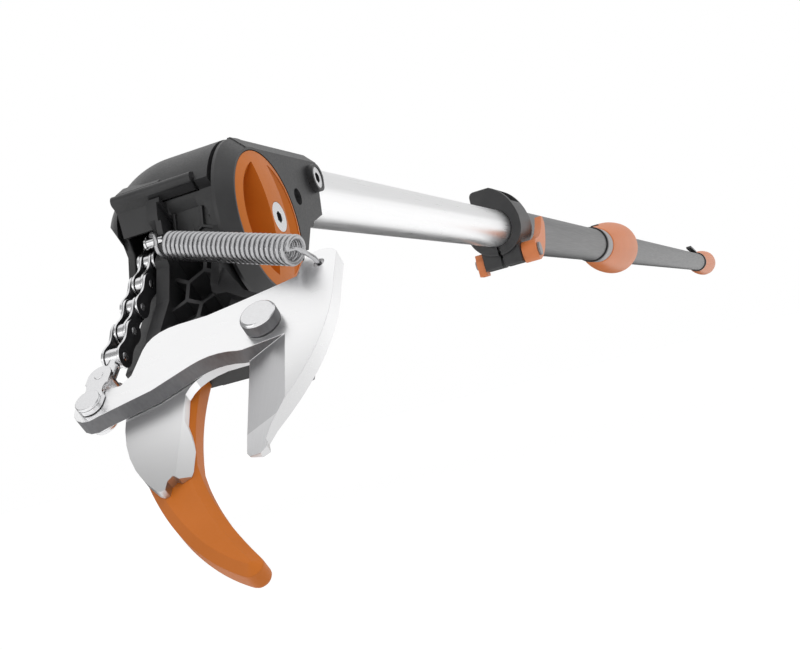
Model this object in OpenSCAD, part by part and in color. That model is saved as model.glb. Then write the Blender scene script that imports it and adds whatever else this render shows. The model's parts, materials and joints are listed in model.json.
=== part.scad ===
// Telescopic tree pruner: two sliding tubes, a swivelling cutting head worked by a chain,
// and a sliding pull ball.
// Pole frame: Y runs along the pole from the head to the butt, Z is up, X is the swivel axis.
// Head frame: X as above, -Y along the leaf towards the tip, +Z out of the front of the blade.
// "Reach" is the distance along the leaf from the swivel axis, "rise" the height towards the front.

/* [Pole] */
// Outside diameter of the sliding inner tube
inner_od = 25; // [23:0.5:26]
// Wall of the inner tube
inner_wall = 1.5; // [1:0.1:2.5]
// Outside diameter of the outer tube
outer_od = 31; // [30.5:0.5:34]
// Wall of the outer tube
outer_wall = 1.4; // [1:0.1:1.6]
// Grip point to the front end of the outer tube
outer_front = 250; // [200:5:300]
// Grip point to the rear end of the outer tube
outer_rear = 1482; // [1450:2:1550]
// Grip point to the rear end of the inner tube
inner_rear = 1400; // [1300:5:1420]
// Length of the guide bushes between the tubes
bush_len = 32; // [15:1:50]
// Running clearance between sliding or turning pieces
run_gap = 0.05; // [0.02:0.01:0.1]
// Gap between pieces that pass each other freely
free_gap = 0.3; // [0.2:0.05:0.5]

/* [Clamp] */
// Grip point to the middle of the tube clamp
clamp_y = 242; // [232:1:246]
// Width of the clamp ring along the pole
clamp_w = 24; // [20:1:30]
// Wall of the clamp ring
clamp_wall = 3.5; // [2.5:0.5:5]
// Slit that lets the clamp close
clamp_slit = 3; // [2:0.5:4]
// Pole axis down to the clamp bolt
clamp_bolt_drop = 20.5; // [20:0.5:24]
// Diameter of the clamp bolt
clamp_bolt_d = 6; // [5:0.5:6]
// Half width of the two clamp ears
clamp_ear_x = 13.5; // [12:0.5:16]
// Length of the cam lever from its bolt to its tip
cam_lever_len = 46; // [35:1:55]

/* [Pull handle and end knob] */
// Grip point to the middle of the ball on the pull handle
ball_y = 285; // [270:5:340]
// Diameter of the ball
ball_d = 54; // [46:1:60]
// Length of the tapered throat in front of the ball
throat_len = 105; // [80:1:110]
// Length of the grey collar in front of the throat
collar_len = 30; // [20:1:36]
// Diameter of the end knob
knob_end_d = 46.4; // [40:0.2:52]
// Length of the tapered throat in front of the end knob
end_throat_len = 150; // [120:1:160]
// Butt flat on the end knob
butt_flat_d = 16; // [8:0.5:20]

/* [Neck] */
// Grip point to the swivel axis
swivel_y = 677; // [640:1:700]
// Pole axis down to the swivel axis
swivel_drop = 19; // [17:0.5:21]
// Swivel axis to the top end of the neck arm
neck_len = 62; // [58:1:70]
// Radius of the neck disc
disc_r = 31.3; // [30:0.1:32]
// Left face of the neck disc
disc_x0 = 12; // [11.5:0.1:13]
// Right face of the neck disc
disc_x1 = 18; // [17:0.5:20]
// Radius of the spigot that carries the head
spigot_r = 18; // [14:0.5:19]
// Diameter of the swivel shaft
shaft_d = 6; // [5:0.5:6]
// Left side of the neck arm
arm_left = 15.5; // [15:0.5:18]

/* [Angle knob] */
// Diameter of the angle knob
angle_knob_d = 50.6; // [46:0.2:50.8]
// Width of its grip bar
bar_w = 13; // [8:0.5:18]
// Height of the grip bar over the neck face
bar_h = 4; // [2:0.5:6]
// Depth of the finger dish below the neck face
dish_depth = 9; // [5:0.5:11]

/* [Head housing] */
// Tilt of the head at rest
head_tilt = 42; // [0:1:60]
// Radius of the head barrel
barrel_r = 31.5; // [30:0.1:32]
// Left end of the dome
barrel_left = 34; // [33:0.5:36]
// Right end of the barrel
barrel_right = 10.5; // [9:0.1:11]
// Start of the dome on the left
dome_x = 11; // [10.5:0.5:12]
// Wall of the dome round the chain chamber
dome_wall = 2.5; // [2:0.1:3]
// Front face of the leaf
leaf_rise = 9.8; // [9:0.1:10]
// Back face of the leaf
leaf_back = 1; // [0.8:0.1:3]
// Width across flats of the honeycomb pockets
cell_flat = 10.6; // [7:0.1:11]
// Distance between the middles of the pockets
cell_pitch = 12; // [11.5:0.1:13]

/* [Blades] */
// Pivot bolt to the right of the pole axis
pivot_x = 35.5; // [34:0.5:37]
// Reach of the pivot bolt
pivot_reach = 78; // [77:0.5:80]
// Diameter of the pivot bolt
pivot_d = 8; // [6:0.5:9]
// Diameter of the pivot bolt's head
pivot_head_d = 11.8; // [11:0.1:14]
// Height of the pivot bolt's head
pivot_head_h = 4.6; // [3:0.2:6]
// Rise of the cutting blade's back face
blade_rise = 10.5; // [10.5:0.1:11]
// Thickness of the cutting blade
blade_t = 5.5; // [4:0.5:6]
// Thickness of the counter blade
counter_t = 3; // [2.6:0.1:4]
// Thickness of the branch hook
hook_t = 8; // [6:0.5:9]

/* [Chain] */
// Chain pitch
pitch = 11.5; // [11:0.1:12.7]
// Middle of the chain to the left of the pole axis
chain_x = 20; // [19.8:0.1:21]
// Reach of the pin at the end of the lever
lever_reach = 94; // [93:0.5:95]
// Length of the twisted link
twist_len = 11.8; // [11:0.1:12.5]
// Diameter of the chain pins
pin_d = 3; // [2.6:0.1:3.2]
// Diameter of the rollers
roller_d = 6.6; // [6.2:0.1:7]
// Height of the link plates
plate_h = 7.6; // [7.2:0.1:8]
// Thickness of the link plates
plate_t = 0.95; // [0.8:0.05:1.1]
// Radius of the chain drum
drum_r = 5.2; // [5:0.1:5.2]

/* [Return spring] */
// Mean diameter of the coils
coil_d = 8.4; // [7.5:0.1:8.6]
// Diameter of the wire
wire_d = 1.6; // [1.2:0.1:1.65]
// Number of coils
coils = 27; // [18:1:27]
// Distance from coil to coil
coil_pitch = 2.09; // [2.07:0.01:2.1]
// Diameter of the spring pin
spring_pin_d = 3.6; // [3:0.1:3.8]

/* [Hidden] */
$fn = 64;
eps = 0.01;

black = [0.13, 0.13, 0.14];
orange = [0.87, 0.42, 0.12];
steel = [0.86, 0.87, 0.88];
dark_steel = [0.45, 0.46, 0.48];

inner_r = inner_od / 2;
outer_r = outer_od / 2;
bore_r = outer_r - outer_wall;
big = 400;
gap_fit = 0.02;

// Pole-frame pieces
module x_rod(x0, x1, r) translate([x0, 0, 0]) rotate([0, 90, 0]) cylinder(h = x1 - x0, r = r);
module y_rod(y0, y1, r) translate([0, y0, 0]) rotate([-90, 0, 0]) cylinder(h = y1 - y0, r = r);
module y_tube(y0, y1, r, hole) difference() {
    y_rod(y0, y1, r);
    y_rod(y0 - 1, y1 + 1, hole);
}
// Turned shapes: the outline is drawn as [radius, distance along the axis]
module y_turn() rotate([-90, 0, 0]) rotate_extrude() children();
module x_turn() rotate([0, 90, 0]) rotate_extrude() children();
module at_swivel() translate([0, -swivel_y, -swivel_drop]) children();

// Head-frame pieces: outlines are drawn as [x, reach]
module in_head() at_swivel() rotate([head_tilt, 0, 0]) children();
module leaf(rise0, rise1) translate([0, 0, rise0]) mirror([0, 1, 0]) linear_extrude(rise1 - rise0) children();
module at_leaf(p, rise) translate([p.x, -p.y, rise]) children();
module side(x0, x1) translate([x0, 0, 0]) rotate([90, 0, 90]) linear_extrude(x1 - x0) mirror([1, 0])
    children();

function arc(c, r, a0, a1, steps) = [for (i = [0:steps]) c + r * [cos(a0 + (a1 - a0) * i / steps),
    sin(a0 + (a1 - a0) * i / steps)]];
function bend(p, q, r, steps) = [for (i = [0:steps]) let (t = i / steps)
    p * (1 - t) * (1 - t) + q * 2 * t * (1 - t) + r * t * t];

// Tapered throat that runs into a ball, drawn from the middle of the ball
meet = 40;
function pear(r, throat, mouth_r, last) = concat(bend([mouth_r, -throat], [mouth_r + 0.8, -throat * 0.42],
    r * [cos(meet), -sin(meet)], 8), arc([0, 0], r, -meet, last, 10));

pivot = [pivot_x, pivot_reach];
spring_seat = [24, 20.5];
lever_end = [-chain_x, lever_reach];
blade_front = blade_rise + blade_t;
chain_rise = blade_rise + blade_t / 2;
counter_front = blade_rise - free_gap;
counter_back = counter_front - counter_t;
link_reach = lever_reach - pitch;
chain_lean = 2.2;
first_pin = link_reach - twist_len;

// Outer tube of the pole
module lower_tube() color([0.5, 0.5, 0.51]) y_tube(-outer_front, outer_rear, outer_r, bore_r);

// Plastic guide at the mouth of the outer tube
module front_bush() color(black)
    y_tube(-outer_front, -outer_front + bush_len, bore_r - gap_fit, inner_r + run_gap);

// Plastic guide on the rear end of the inner tube
module rear_bush() color(black)
    y_tube(inner_rear - bush_len, inner_rear, bore_r - run_gap, inner_r + gap_fit);

// Split clamp ring with two ears below and a hollow lug above
ear_h = 8;
ear_len = 18;
lug_left = 11;
lug_right = 8;
lug_h = 13;
lug_wall = 2.5;
ring_r = outer_r + clamp_wall;
lug_outline = [[-14, ring_r - 5], [-14, ring_r + 5.5], [-5, ring_r + lug_h], [12, ring_r + lug_h],
    [17, ring_r + lug_h - 4], [clamp_w / 2, ring_r - 5]];
module clamp_body() color(black) translate([0, -clamp_y, 0]) difference() {
    union() {
        y_rod(-clamp_w / 2, clamp_w / 2, ring_r);
        translate([-clamp_ear_x, -ear_len / 2, -clamp_bolt_drop - ear_h])
            cube([2 * clamp_ear_x, ear_len, clamp_bolt_drop + ear_h - outer_r / 2]);
        translate([-lug_left, 0, 0]) rotate([90, 0, 90]) linear_extrude(lug_left + lug_right)
            polygon(lug_outline);
    }
    y_rod(clamp_y - outer_front - eps, clamp_w, outer_r + gap_fit);
    y_rod(-clamp_w, clamp_w, inner_r + free_gap);
    translate([-clamp_slit / 2, -clamp_w, -clamp_bolt_drop - 2 * ear_h])
        cube([clamp_slit, 2 * clamp_w, clamp_bolt_drop + 2 * ear_h]);
    translate([0, 0, -clamp_bolt_drop]) x_rod(-clamp_ear_x - 1, clamp_ear_x + 1, clamp_bolt_d / 2 + gap_fit);
    translate([-lug_left + lug_wall, -4, ring_r + lug_wall / 2])
        cube([lug_left + lug_right, 15, lug_h - 2 * lug_wall]);
}

// Cross bolt through the clamp ears
nut_t = 5.5;
cam_t = 10.5;
module clamp_bolt() color(dark_steel) translate([0, -clamp_y, -clamp_bolt_drop]) union() {
    x_rod(-clamp_ear_x - nut_t - 1.5, clamp_ear_x + cam_t + 1.2, clamp_bolt_d / 2);
    x_rod(clamp_ear_x + cam_t + free_gap, clamp_ear_x + cam_t + 1.7, clamp_bolt_d / 2 + 1.5);
}

// Thumb nut on the left ear
module clamp_nut() color(orange) translate([0, -clamp_y, -clamp_bolt_drop]) difference() {
    union() {
        x_rod(-clamp_ear_x - nut_t, -clamp_ear_x - gap_fit, 6.5);
        translate([-clamp_ear_x - nut_t, -5, -8.5]) cube([nut_t - gap_fit, 10, 15]);
    }
    x_rod(-clamp_ear_x - nut_t - 1, 0, clamp_bolt_d / 2 + gap_fit);
}

// Cam lever on the right ear, lying back along the tube
cam_hub_r = 7.2;
cam_arm_x = max(clamp_ear_x + 5, ring_r + free_gap);
cam_tip = cam_lever_len * [cos(27), sin(27)];
cam_arm = concat(bend([0, cam_hub_r], [cam_lever_len / 2, 9], cam_tip + [-2, 4], 6),
    arc(cam_tip, 4, 120, -60, 6), bend(cam_tip + [2, -4], [cam_lever_len / 2, -4], [0, -cam_hub_r], 6));
module cam_lever() color(orange) translate([0, -clamp_y, -clamp_bolt_drop]) difference() {
    union() {
        x_rod(clamp_ear_x + free_gap, clamp_ear_x + cam_t, cam_hub_r);
        translate([cam_arm_x, 0, 0]) rotate([90, 0, 90])
            linear_extrude(clamp_ear_x + cam_t - cam_arm_x) polygon(cam_arm);
    }
    x_rod(0, clamp_ear_x + cam_t + 1, clamp_bolt_d / 2 + run_gap);
}

// Round knob with a tapered throat that closes the butt
knob_end_r = knob_end_d / 2;
knob_end_y = outer_rear + 13;
end_front = knob_end_y - end_throat_len;
butt_y = knob_end_y + sqrt(pow(knob_end_r, 2) - pow(butt_flat_d / 2, 2));
module end_knob() color(orange) y_turn() translate([0, knob_end_y])
    polygon(concat(pear(knob_end_r, end_throat_len, outer_r + 2, acos(butt_flat_d / 2 / knob_end_r)),
        [[0, butt_y - knob_end_y], [0, outer_rear - knob_end_y + gap_fit],
        [outer_r + gap_fit, outer_rear - knob_end_y + gap_fit], [outer_r + gap_fit, -end_throat_len]]));

// Collar in front of the end knob with a hanging hook on its top
hook_run = 90;
module end_collar() color(black) union() {
    y_tube(end_front - 10, end_front - gap_fit, outer_r + 2, outer_r + gap_fit);
    translate([-4.5, end_front - gap_fit, 0]) rotate([90, 0, 90]) linear_extrude(9)
        polygon([[0, outer_r + 0.5], [0, outer_r + 4], [-30, outer_r + 7], [-hook_run, outer_r + 12],
            [-hook_run - 4, outer_r + 8.5], [-30, outer_r + 3.5], [-9.5, outer_r + 0.5]]);
}

// Pull handle: a ball with a tapered throat that slides on the outer tube and pulls the cutting cord
ball_r = ball_d / 2;
ball_front = ball_y - throat_len;
ball_bore = outer_r + run_gap;
tab_len = 35;
module tab_box(grow) translate([-4 - grow, ball_y - 85 - grow, outer_r + 1 - grow])
    cube([8 + 2 * grow, tab_len + 2 * grow, 5.5]);
module pull_ball() color(orange) difference() {
    y_turn() translate([0, ball_y])
        polygon(concat(pear(ball_r, throat_len, outer_r + 2, acos(ball_bore / ball_r)),
        [[ball_bore, -throat_len]]));
    tab_box(gap_fit);
}
module pull_tab() color(black) tab_box(0);

// Grey collar and black ring in front of the throat
module pull_collar() color([0.5, 0.5, 0.51])
    y_tube(ball_front - collar_len, ball_front - gap_fit, outer_r + 1.1, ball_bore);
module pull_ring() color(black)
    y_tube(ball_front - collar_len - 6, ball_front - collar_len - gap_fit, outer_r + 1.5, ball_bore);

// Bright inner tube, cross-drilled for the neck screw
neck_seat = 39;
screw_y = 52.5;
screw_d = 6;
module inner_tube() color([0.84, 0.84, 0.85]) difference() {
    y_tube(-swivel_y + neck_seat, inner_rear, inner_r, inner_r - inner_wall);
    translate([0, -swivel_y + screw_y, 0]) x_rod(-big, big, screw_d / 2 + gap_fit);
}

// Neck: disc with the knob, spigot for the head and arm for the tube, split beside the pole axis
edge_r = angle_knob_d / 2 + 1.2;
shoulder = 1.2;
arm_high = disc_r - 0.2;
arm_top = swivel_drop + inner_r + 3;
arm_start = barrel_r + 3.6;
arm_side = [[-6, 0], [-6, arm_high], [neck_len, arm_high], [neck_len - 9, 4.5], [38, 0],
    [disc_r * 0.93, -disc_r * 0.33]];
arm_section = [[disc_x0 + 2, 1], [disc_x0 + 2, arm_high - 1], [6, arm_top], [-8, arm_top],
    [-arm_left, arm_top - 7], [-arm_left, 8], [-9, 1.5]];
lean = atan(9 / (arm_high - 4.5));
bevel_turn = atan((disc_r - edge_r) / (disc_x1 - disc_x0 - shoulder));
module neck_disc() x_turn() polygon([[0, disc_x0], [disc_r, disc_x0], [disc_r, disc_x0 + shoulder],
    [edge_r, disc_x1], [0, disc_x1]]);
module neck_solid() difference() {
    union() {
        neck_disc();
        difference() {
            translate([disc_x0, 0, 0]) rotate([90, 0, 90]) linear_extrude(disc_x1 - disc_x0)
                polygon(arm_side);
            translate([disc_x1, -big / 2, edge_r - 0.2]) rotate([0, bevel_turn, 0])
                translate([-big / 2, 0, 0])
                cube([big, big, big]);
        }
        difference() {
            translate([0, neck_len + 2, 0]) rotate([90, 0, 0]) linear_extrude(neck_len - 33)
                polygon(arm_section);
            x_rod(-big, disc_x0 - eps, arm_start);
        }
        translate([0, screw_y, swivel_drop]) x_rod(0, disc_x1 + 2.5, screw_d / 2 + 2.6);
    }
    translate([-big / 2, neck_len, arm_high]) rotate([-lean, 0, 0]) translate([0, 0, -big / 2])
        cube([big, big, big]);
    translate([0, 0, swivel_drop]) y_rod(neck_seat, big, inner_r + gap_fit);
    translate([0, screw_y, swivel_drop]) x_rod(-arm_left + 4, big, screw_d / 2 + gap_fit);
    translate([0, screw_y, swivel_drop]) x_rod(disc_x1 - 1, big, 4.4 + gap_fit);
    translate([0, 32, 10.5]) x_rod(disc_x0 + 0.6, big, 3.3);
}
module neck_right() color(black) at_swivel() difference() {
    union() {
        intersection() {
            neck_solid();
            translate([0, -big / 2, -big / 2]) cube([big, big, big]);
        }
        x_rod(-8, disc_x0 + 1, spigot_r);
    }
    x_rod(disc_x1 - 5.6, big, angle_knob_d / 2 + free_gap);
    x_rod(disc_x1 - dish_depth - 5.5, big, spigot_r - 2 + free_gap);
    x_rod(-9, big, shaft_d / 2 + gap_fit);
}
module neck_left() color(black) at_swivel() intersection() {
    neck_solid();
    translate([-big - gap_fit, -big / 2, -big / 2]) cube([big, big, big]);
}

// Socket screws that hold the neck halves on the tube
module socket_screw(x0, x1, r, head_r, head_h, key) difference() {
    union() {
        x_rod(x0, x1 - head_h + eps, r);
        x_rod(x1 - head_h, x1, head_r);
    }
    translate([x1 - head_h * 0.7, 0, 0]) rotate([0, 90, 0]) cylinder(h = head_h, r = key / sqrt(3), $fn = 6);
}
module neck_screws() color(steel) at_swivel() union() {
    translate([0, screw_y, swivel_drop])
        socket_screw(-arm_left + 4.5, disc_x1 + 2.2, screw_d / 2, 4.4, 3.1, 4);
    translate([0, 32, 10.5]) socket_screw(disc_x0 + 0.6 + gap_fit, disc_x0 + 3.2, 3.2, 3.2, 2, 3);
}

// Steel shaft that the head and the chain drum turn on
module swivel_shaft() color(steel) at_swivel() difference() {
    x_rod(-barrel_left + 2, 0, shaft_d / 2);
    x_rod(-12, 1, shaft_d / 4);
}

// Angle knob: a shallow dome with a finger dish on each side of a grip bar
angle_knob_r = angle_knob_d / 2;
knob_hub_r = spigot_r - 2;
dome_r = (pow(angle_knob_r, 2) + pow(bar_h, 2)) / (2 * bar_h);
dish_r = angle_knob_r - 3.8;
dish_x = disc_x1 - dish_depth;
module angle_knob() color(orange) at_swivel() difference() {
    union() {
        x_turn() intersection() {
            translate([0, disc_x1 - 0.2 + bar_h - dome_r]) circle(dome_r, $fn = 360);
            translate([0, disc_x1 - 5.2]) square([angle_knob_r, bar_h + 6]);
        }
        x_rod(dish_x - 5.2, disc_x1 - 5, knob_hub_r);
    }
    difference() {
        x_turn() polygon([[0, dish_x], [knob_hub_r - 4, dish_x], [knob_hub_r + 0.4, disc_x1 - 3.8],
            [dish_r, disc_x1 + 0.5], [dish_r, big / 8], [0, big / 8]]);
        translate([0, -bar_w / 2, -big / 2]) cube([big, bar_w, big]);
    }
    x_rod(-big, big, 3 + gap_fit);
    x_rod(disc_x1 + bar_h - 3.2, big, 5.6);
}

// Countersunk screw that holds the angle knob
module knob_screw() color(steel) at_swivel()
    socket_screw(gap_fit, disc_x1 + bar_h - 0.4, shaft_d / 2, 5.5, 2.8, 4);

// Head barrel and its dome, shared by the housing and its rear cover
parting_tilt = 29.2;
parting_back = 9;
lip_left = 26;
lip_right = 5;
lip_r = 2.2;
lip_at = [8.4, 30.6];
chamber_left = 28.5;
chamber_right = 13;
cup_left = 9;
chain_slot_left = 27.8;
chain_slot_right = 13.2;
module barrel() x_turn() intersection() {
    union() {
        translate([0, -dome_x]) circle(barrel_r, $fn = 128);
        translate([0, -dome_x]) square([barrel_r, dome_x + barrel_right]);
    }
    translate([0, -barrel_left]) square([2 * barrel_r, barrel_left + barrel_right]);
}
// Half space behind the parting plane
module behind_parting(shift) translate([-big / 2, parting_back + shift, 0]) rotate([parting_tilt, 0, 0])
    translate([0, 0, -big / 2]) cube([big, big, big]);
// Room for the chain, its drum, the swivel shaft and the neck's spigot
module chain_space() union() {
    x_turn() intersection() {
        translate([0, -dome_x]) circle(barrel_r - dome_wall, $fn = 128);
        translate([0, -chamber_left]) square([2 * barrel_r, chamber_left - chamber_right]);
    }
    side(-chain_slot_left, -chain_slot_right)
        polygon([[0, 7.4], [big / 4, 7.4], [big / 4, big / 4], [9, big / 8], [0, 20]]);
    x_rod(-cup_left, big, spigot_r + free_gap);
    x_rod(-barrel_left + 1.5, big, shaft_d / 2 + run_gap);
}

// Smooth rear cover with the hood lip and the hood panel over the mouth of the chain
lip_outline = [[-3, 25.5], [5.5, 31.2], [8, 32.6], [10.5, 31], [10.5, 27], [8.5, 25.2]];
hood_outline = [[8, 25], [8, 28], [10.5, 27.2], [16, 20.5], [14.6, 19.2]];
module rear_cover() color(black) in_head() union() {
    difference() {
        intersection() {
            barrel();
            behind_parting(0);
        }
        chain_space();
        screw_holes(2.1);
    }
    side(-lip_left, lip_right) polygon(lip_outline);
    side(-lip_left, -chain_slot_right - 0.2) polygon(hood_outline);
    translate([0, -lip_at.x, lip_at.y]) x_rod(-lip_left, lip_right, lip_r);
}

// Three screws that hold the cover, put in from the back
cover_spots = [[-25, -20], [-6, -25], [6, -25]];
module screw_holes(r) for (s = cover_spots) translate([s.x, 0, s.y]) rotate([90, 0, 0])
    cylinder(h = big / 4, r = r, center = true);
module cover_screws() color(dark_steel) in_head() for (s = cover_spots) translate([s.x, 0, s.y])
    rotate([90, 0, 0]) translate([0, 0, -12]) cylinder(h = 24, r = 2);

// Housing: front of the barrel, sloping frame with honeycomb pockets and the leaf that carries the blades
leaf_end = pivot_reach + 9;
throat_reach = pivot_reach + 2.1;
rib_left = -13;
rib_right = -8;
frame_x = 10.4;
leaf_outline = [[rib_left, 0], [frame_x, 0], [frame_x, 34], [21, 50], [pivot_x + 2, pivot_reach - 20],
    [pivot_x + 8.5, pivot_reach - 13], [pivot_x + 7, pivot_reach + 2], [pivot_x + 3, leaf_end],
    [pivot_x - 3.5, leaf_end], [pivot_x - 6.5, throat_reach], [13, throat_reach], [13, 70], [-11, 70],
    [-15, 66], [rib_left, 60]];
front_outline = [[rib_left, 0], [frame_x, 0], [frame_x, 34], [21, 50], [pivot_x - 1, 59], [pivot_x - 1, 67],
    [-12, 67], [rib_left, 58]];
window = [[rib_right, 12.5], [4, 12.5], [6.8, 15.5], [7.4, 42], [8.4, 45.6], [10.5, 47.6], [14.5, 48.4],
    [21, 53.5], [30, 58], [30, 63.5],
    [rib_right, 63.5]];
slope = [[9, big / 8], [9.5, 26], [12, 22.5], [18, 16], [44, leaf_rise], [big / 4, leaf_rise],
    [big / 4, big / 8]];
sunk = [[9, big / 8], [9, 23], [12, 19.5], [18, 13], [44, leaf_rise - 3], [big / 4, leaf_rise - 3],
    [big / 4, big / 8]];
rib_outline = [[9, 0], [9, 25], [12, 22.5], [20, spring_seat.y], [28, spring_seat.y], [31, 14.5],
    [43, leaf_rise + 0.2],
    [43, 0]];
hook_notch = 2.9;
floor_rise = 5;
floor_left = -18.5;
mouth_slant = 1.58;
mouth_cut = [[-big / 8, 12.5 + mouth_slant * (30 - big / 8)],
    [rib_left, 12.5 + mouth_slant * (30 + rib_left)],
    [rib_left, big / 4], [-big / 8, big / 4]];
wall_outline = [[0, -leaf_back], [0, 24], [9, 22], [13, 17], [20, 13.5], [31, 12], [34, 8], [34, -leaf_back]];
cells = [for (row = [-1:1], col = [-1:1]) [-3 + col * cell_pitch + (row % 2 == 0 ? -cell_pitch / 2 : 0),
    39 + row * cell_pitch * 0.866]];
module head_housing() color(black) in_head() difference() {
    union() {
        difference() {
            union() {
                barrel();
                leaf(-leaf_back, counter_back - gap_fit) polygon(leaf_outline);
                leaf(-leaf_back, floor_rise) polygon([[-29.6, 0], [rib_left + 1, 0], [rib_left + 1, 67],
                    [floor_left, 69], [floor_left, 33], [-29.6, 33]]);
                side(-29.6, -chain_slot_left) polygon(wall_outline);
            }
            side(-lip_left, rib_left) polygon(slope);
        }
        difference() {
            union() {
                leaf(0, leaf_rise) polygon(front_outline);
                side(rib_left, frame_x) polygon([[0, 0], [0, 20], [9, 26], [44, leaf_rise], [44, 0]]);
            }
            side(rib_left, big / 8) polygon(slope);
        }
        side(rib_left, rib_right) polygon(rib_outline);
    }
    behind_parting(-gap_fit);
    side(rib_right, big / 8) polygon(slope);
    side(-lip_left - 1, lip_right + 0.5)
        polygon([[3.5, 24.9], [5, 32], [7, 36], [12, 32], [11, 26.9], [8.5, 24.9]]);
    intersection() {
        leaf(-leaf_back, big / 8) polygon(window);
        side(rib_right, big / 8) polygon(sunk);
    }
    intersection() {
        leaf(1.2, big / 8) polygon(window);
        for (c = cells) at_leaf(c, 0) rotate([0, 0, 30])
                cylinder(h = big / 8, r = cell_flat / sqrt(3), $fn = 6);
    }
    for (x = [-9, -1]) leaf(15, big / 8) polygon([[x, 13], [x + 6, 13], [x + 6, 19], [x, 19]]);
    chain_space();
    leaf(floor_rise, big / 8) polygon(mouth_cut);
    leaf(-big / 8, big / 8) intersection() {
        polygon(mouth_cut);
        translate([-big + floor_left, -big / 2]) square([big, big]);
    }
    at_leaf(pivot, -big / 4) cylinder(h = big / 2, r = pivot_d / 2 + gap_fit);
    leaf(tongue_low - gap_fit, tongue_high + gap_fit)
        polygon([[-8.2, 64.3], [8.2, 64.3], [8.2, 80], [-8.2, 80]]);
    for (s = hook_spots) at_leaf(s, -big / 4) cylinder(h = big / 4, r = 2 + gap_fit);
    translate([0, -spring_seat.x, spring_seat.y]) x_rod(-big / 8, 0, spring_pin_d / 2 + gap_fit);
    translate([rib_left - 1, -30, 16.6]) cube([hook_notch + 1, 11.5, big / 8]);
    screw_holes(2 + gap_fit);
}

// Fixed counter blade behind the cutting blade
counter_outline = concat([pivot + [-5.5, -9.5], [-2, 68.5]], bend([-12, 80], [-13, 112], [6.9, 129.6], 8),
    [[8.7, 130.6], [10.2, 130.2], [10.2, 127.2], [11.6, 125.6], [13.4, 126.6]],
    bend([15.8, 125], [17.6, 117.5], [10.6, 104], 6), bend([8.8, 93], [10.5, 86], [20, 84.2], 5),
        [[29.5, 84]],
    arc(pivot, 9.6, 125, -55, 10));
counter_bevel = [9.7, 101];
counter_lean = 6.5;
module counter_blade() color(steel) in_head() difference() {
    leaf(counter_back, counter_front) polygon(counter_outline);
    at_leaf(counter_bevel, counter_front) rotate([0, 0, counter_lean]) translate([0, 7.5, 0])
        rotate([90, 0, 0])
        linear_extrude(60) polygon([[0, 0], [8, -8 * 0.78], [8, 2], [0, 2]]);
    at_leaf(pivot, 0) cylinder(h = big / 8, r = pivot_d / 2 + gap_fit);
}

// Branch hook behind the counter blade, with a tongue in the housing
hook_spots = [[-4, 67.3], [4, 67.3]];
tongue_low = 0;
tongue_high = 3.4;
hook_front = counter_back - gap_fit;
hook_outline = concat([[-11, 70.3], [8, 70.3]], bend([9.8, 78], [9, 98], [15.2, 118.4], 6),
    bend([17.6, 123.5], [26, 140], [41.3, 157.6], 6), arc([39.4, 159.6], 3.2, -35, 130, 6),
    bend([36, 161.8], [16, 151], [-1.2, 120], 8), [[-11, 98]]);
module branch_hook() color(orange) in_head() difference() {
    union() {
        leaf(hook_front - hook_t, hook_front) polygon(hook_outline);
        leaf(tongue_low, tongue_high) polygon([[-8, 64.6], [8, 64.6], [8, 72], [-8, 72]]);
    }
    for (s = hook_spots) at_leaf(s, -big / 4) cylinder(h = big / 2, r = 2 + gap_fit);
}

// Screws that hold the hook's tongue
module hook_screws() color(dark_steel) in_head() for (s = hook_spots) at_leaf(s, -leaf_back - 2.5) union() {
    cylinder(h = leaf_back + 5, r = 2);
    cylinder(h = 2.45, r = 2.8);
}

// Pivot bolt and its nut
module pivot_bolt() color(steel) in_head() at_leaf(pivot, 0) union() {
    translate([0, 0, -leaf_back - 7]) cylinder(h = leaf_back + 7 + blade_front + 1, r = pivot_d / 2);
    translate([0, 0, blade_front + free_gap]) rotate_extrude() polygon([[0, 0], [pivot_head_d / 2, 0],
        [pivot_head_d / 2, pivot_head_h - 0.8], [pivot_head_d / 2 - 0.8, pivot_head_h], [0, pivot_head_h]]);
}
module pivot_nut() color(dark_steel) in_head() at_leaf(pivot, -leaf_back - 6) difference() {
    cylinder(h = 6 - gap_fit, r = pivot_d * 0.93, $fn = 6);
    translate([0, 0, -1]) cylinder(h = 8, r = pivot_d / 2 + gap_fit);
}

// Steel pin on the rib for the left hook of the spring
pin_out = 3.5;
module spring_pin() color(steel) in_head() translate([0, -spring_seat.x, spring_seat.y]) union() {
    x_rod(rib_left - pin_out, rib_right - 0.2, spring_pin_d / 2);
    x_rod(rib_left - pin_out, rib_left - pin_out + 0.7, spring_pin_d / 2 + 0.5);
}

// Cutting blade with the lever arm, bevelled along its inner edge
ear = pivot + [15.5, -22];
ear_hole_d = 3.6;
bevel_w = 14;
edge_t = 0.5;
bevel_h = blade_t - edge_t;
facet_at = 31.2;
facet_turn = 2.5;
edge_start = pivot + [-5.8, 9];
edge_end = pivot + [-0.5, 46.7];
edge_lean = atan2(edge_end.x - edge_start.x, edge_end.y - edge_start.y);
blade_outline = concat(arc(lever_end, 6.2, 55, 262, 8), [lever_end + [8.5, -6], lever_end + [11.4, -9.4]],
    bend([-7.2, 74], [-6, 66.5], [4, 66.2], 5), bend([14, 66], [30, 63], pivot + [8.5, -18.5], 6),
    arc(ear, 6.6, 200, 330, 6),
    bend(pivot + [21.5, -14], pivot + [24.5, 15], pivot + [8, 40.9], 10),
    [pivot + [6.2, 45.4], pivot + [7.1, 48.3], pivot + [4.9, 49.6], pivot + [1, 48.5], edge_end, edge_start],
    bend(pivot + [-7.5, 8.8], pivot + [-16, 6], pivot + [-23, 9.5], 5), [[0.5, lever_reach]]);
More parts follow.
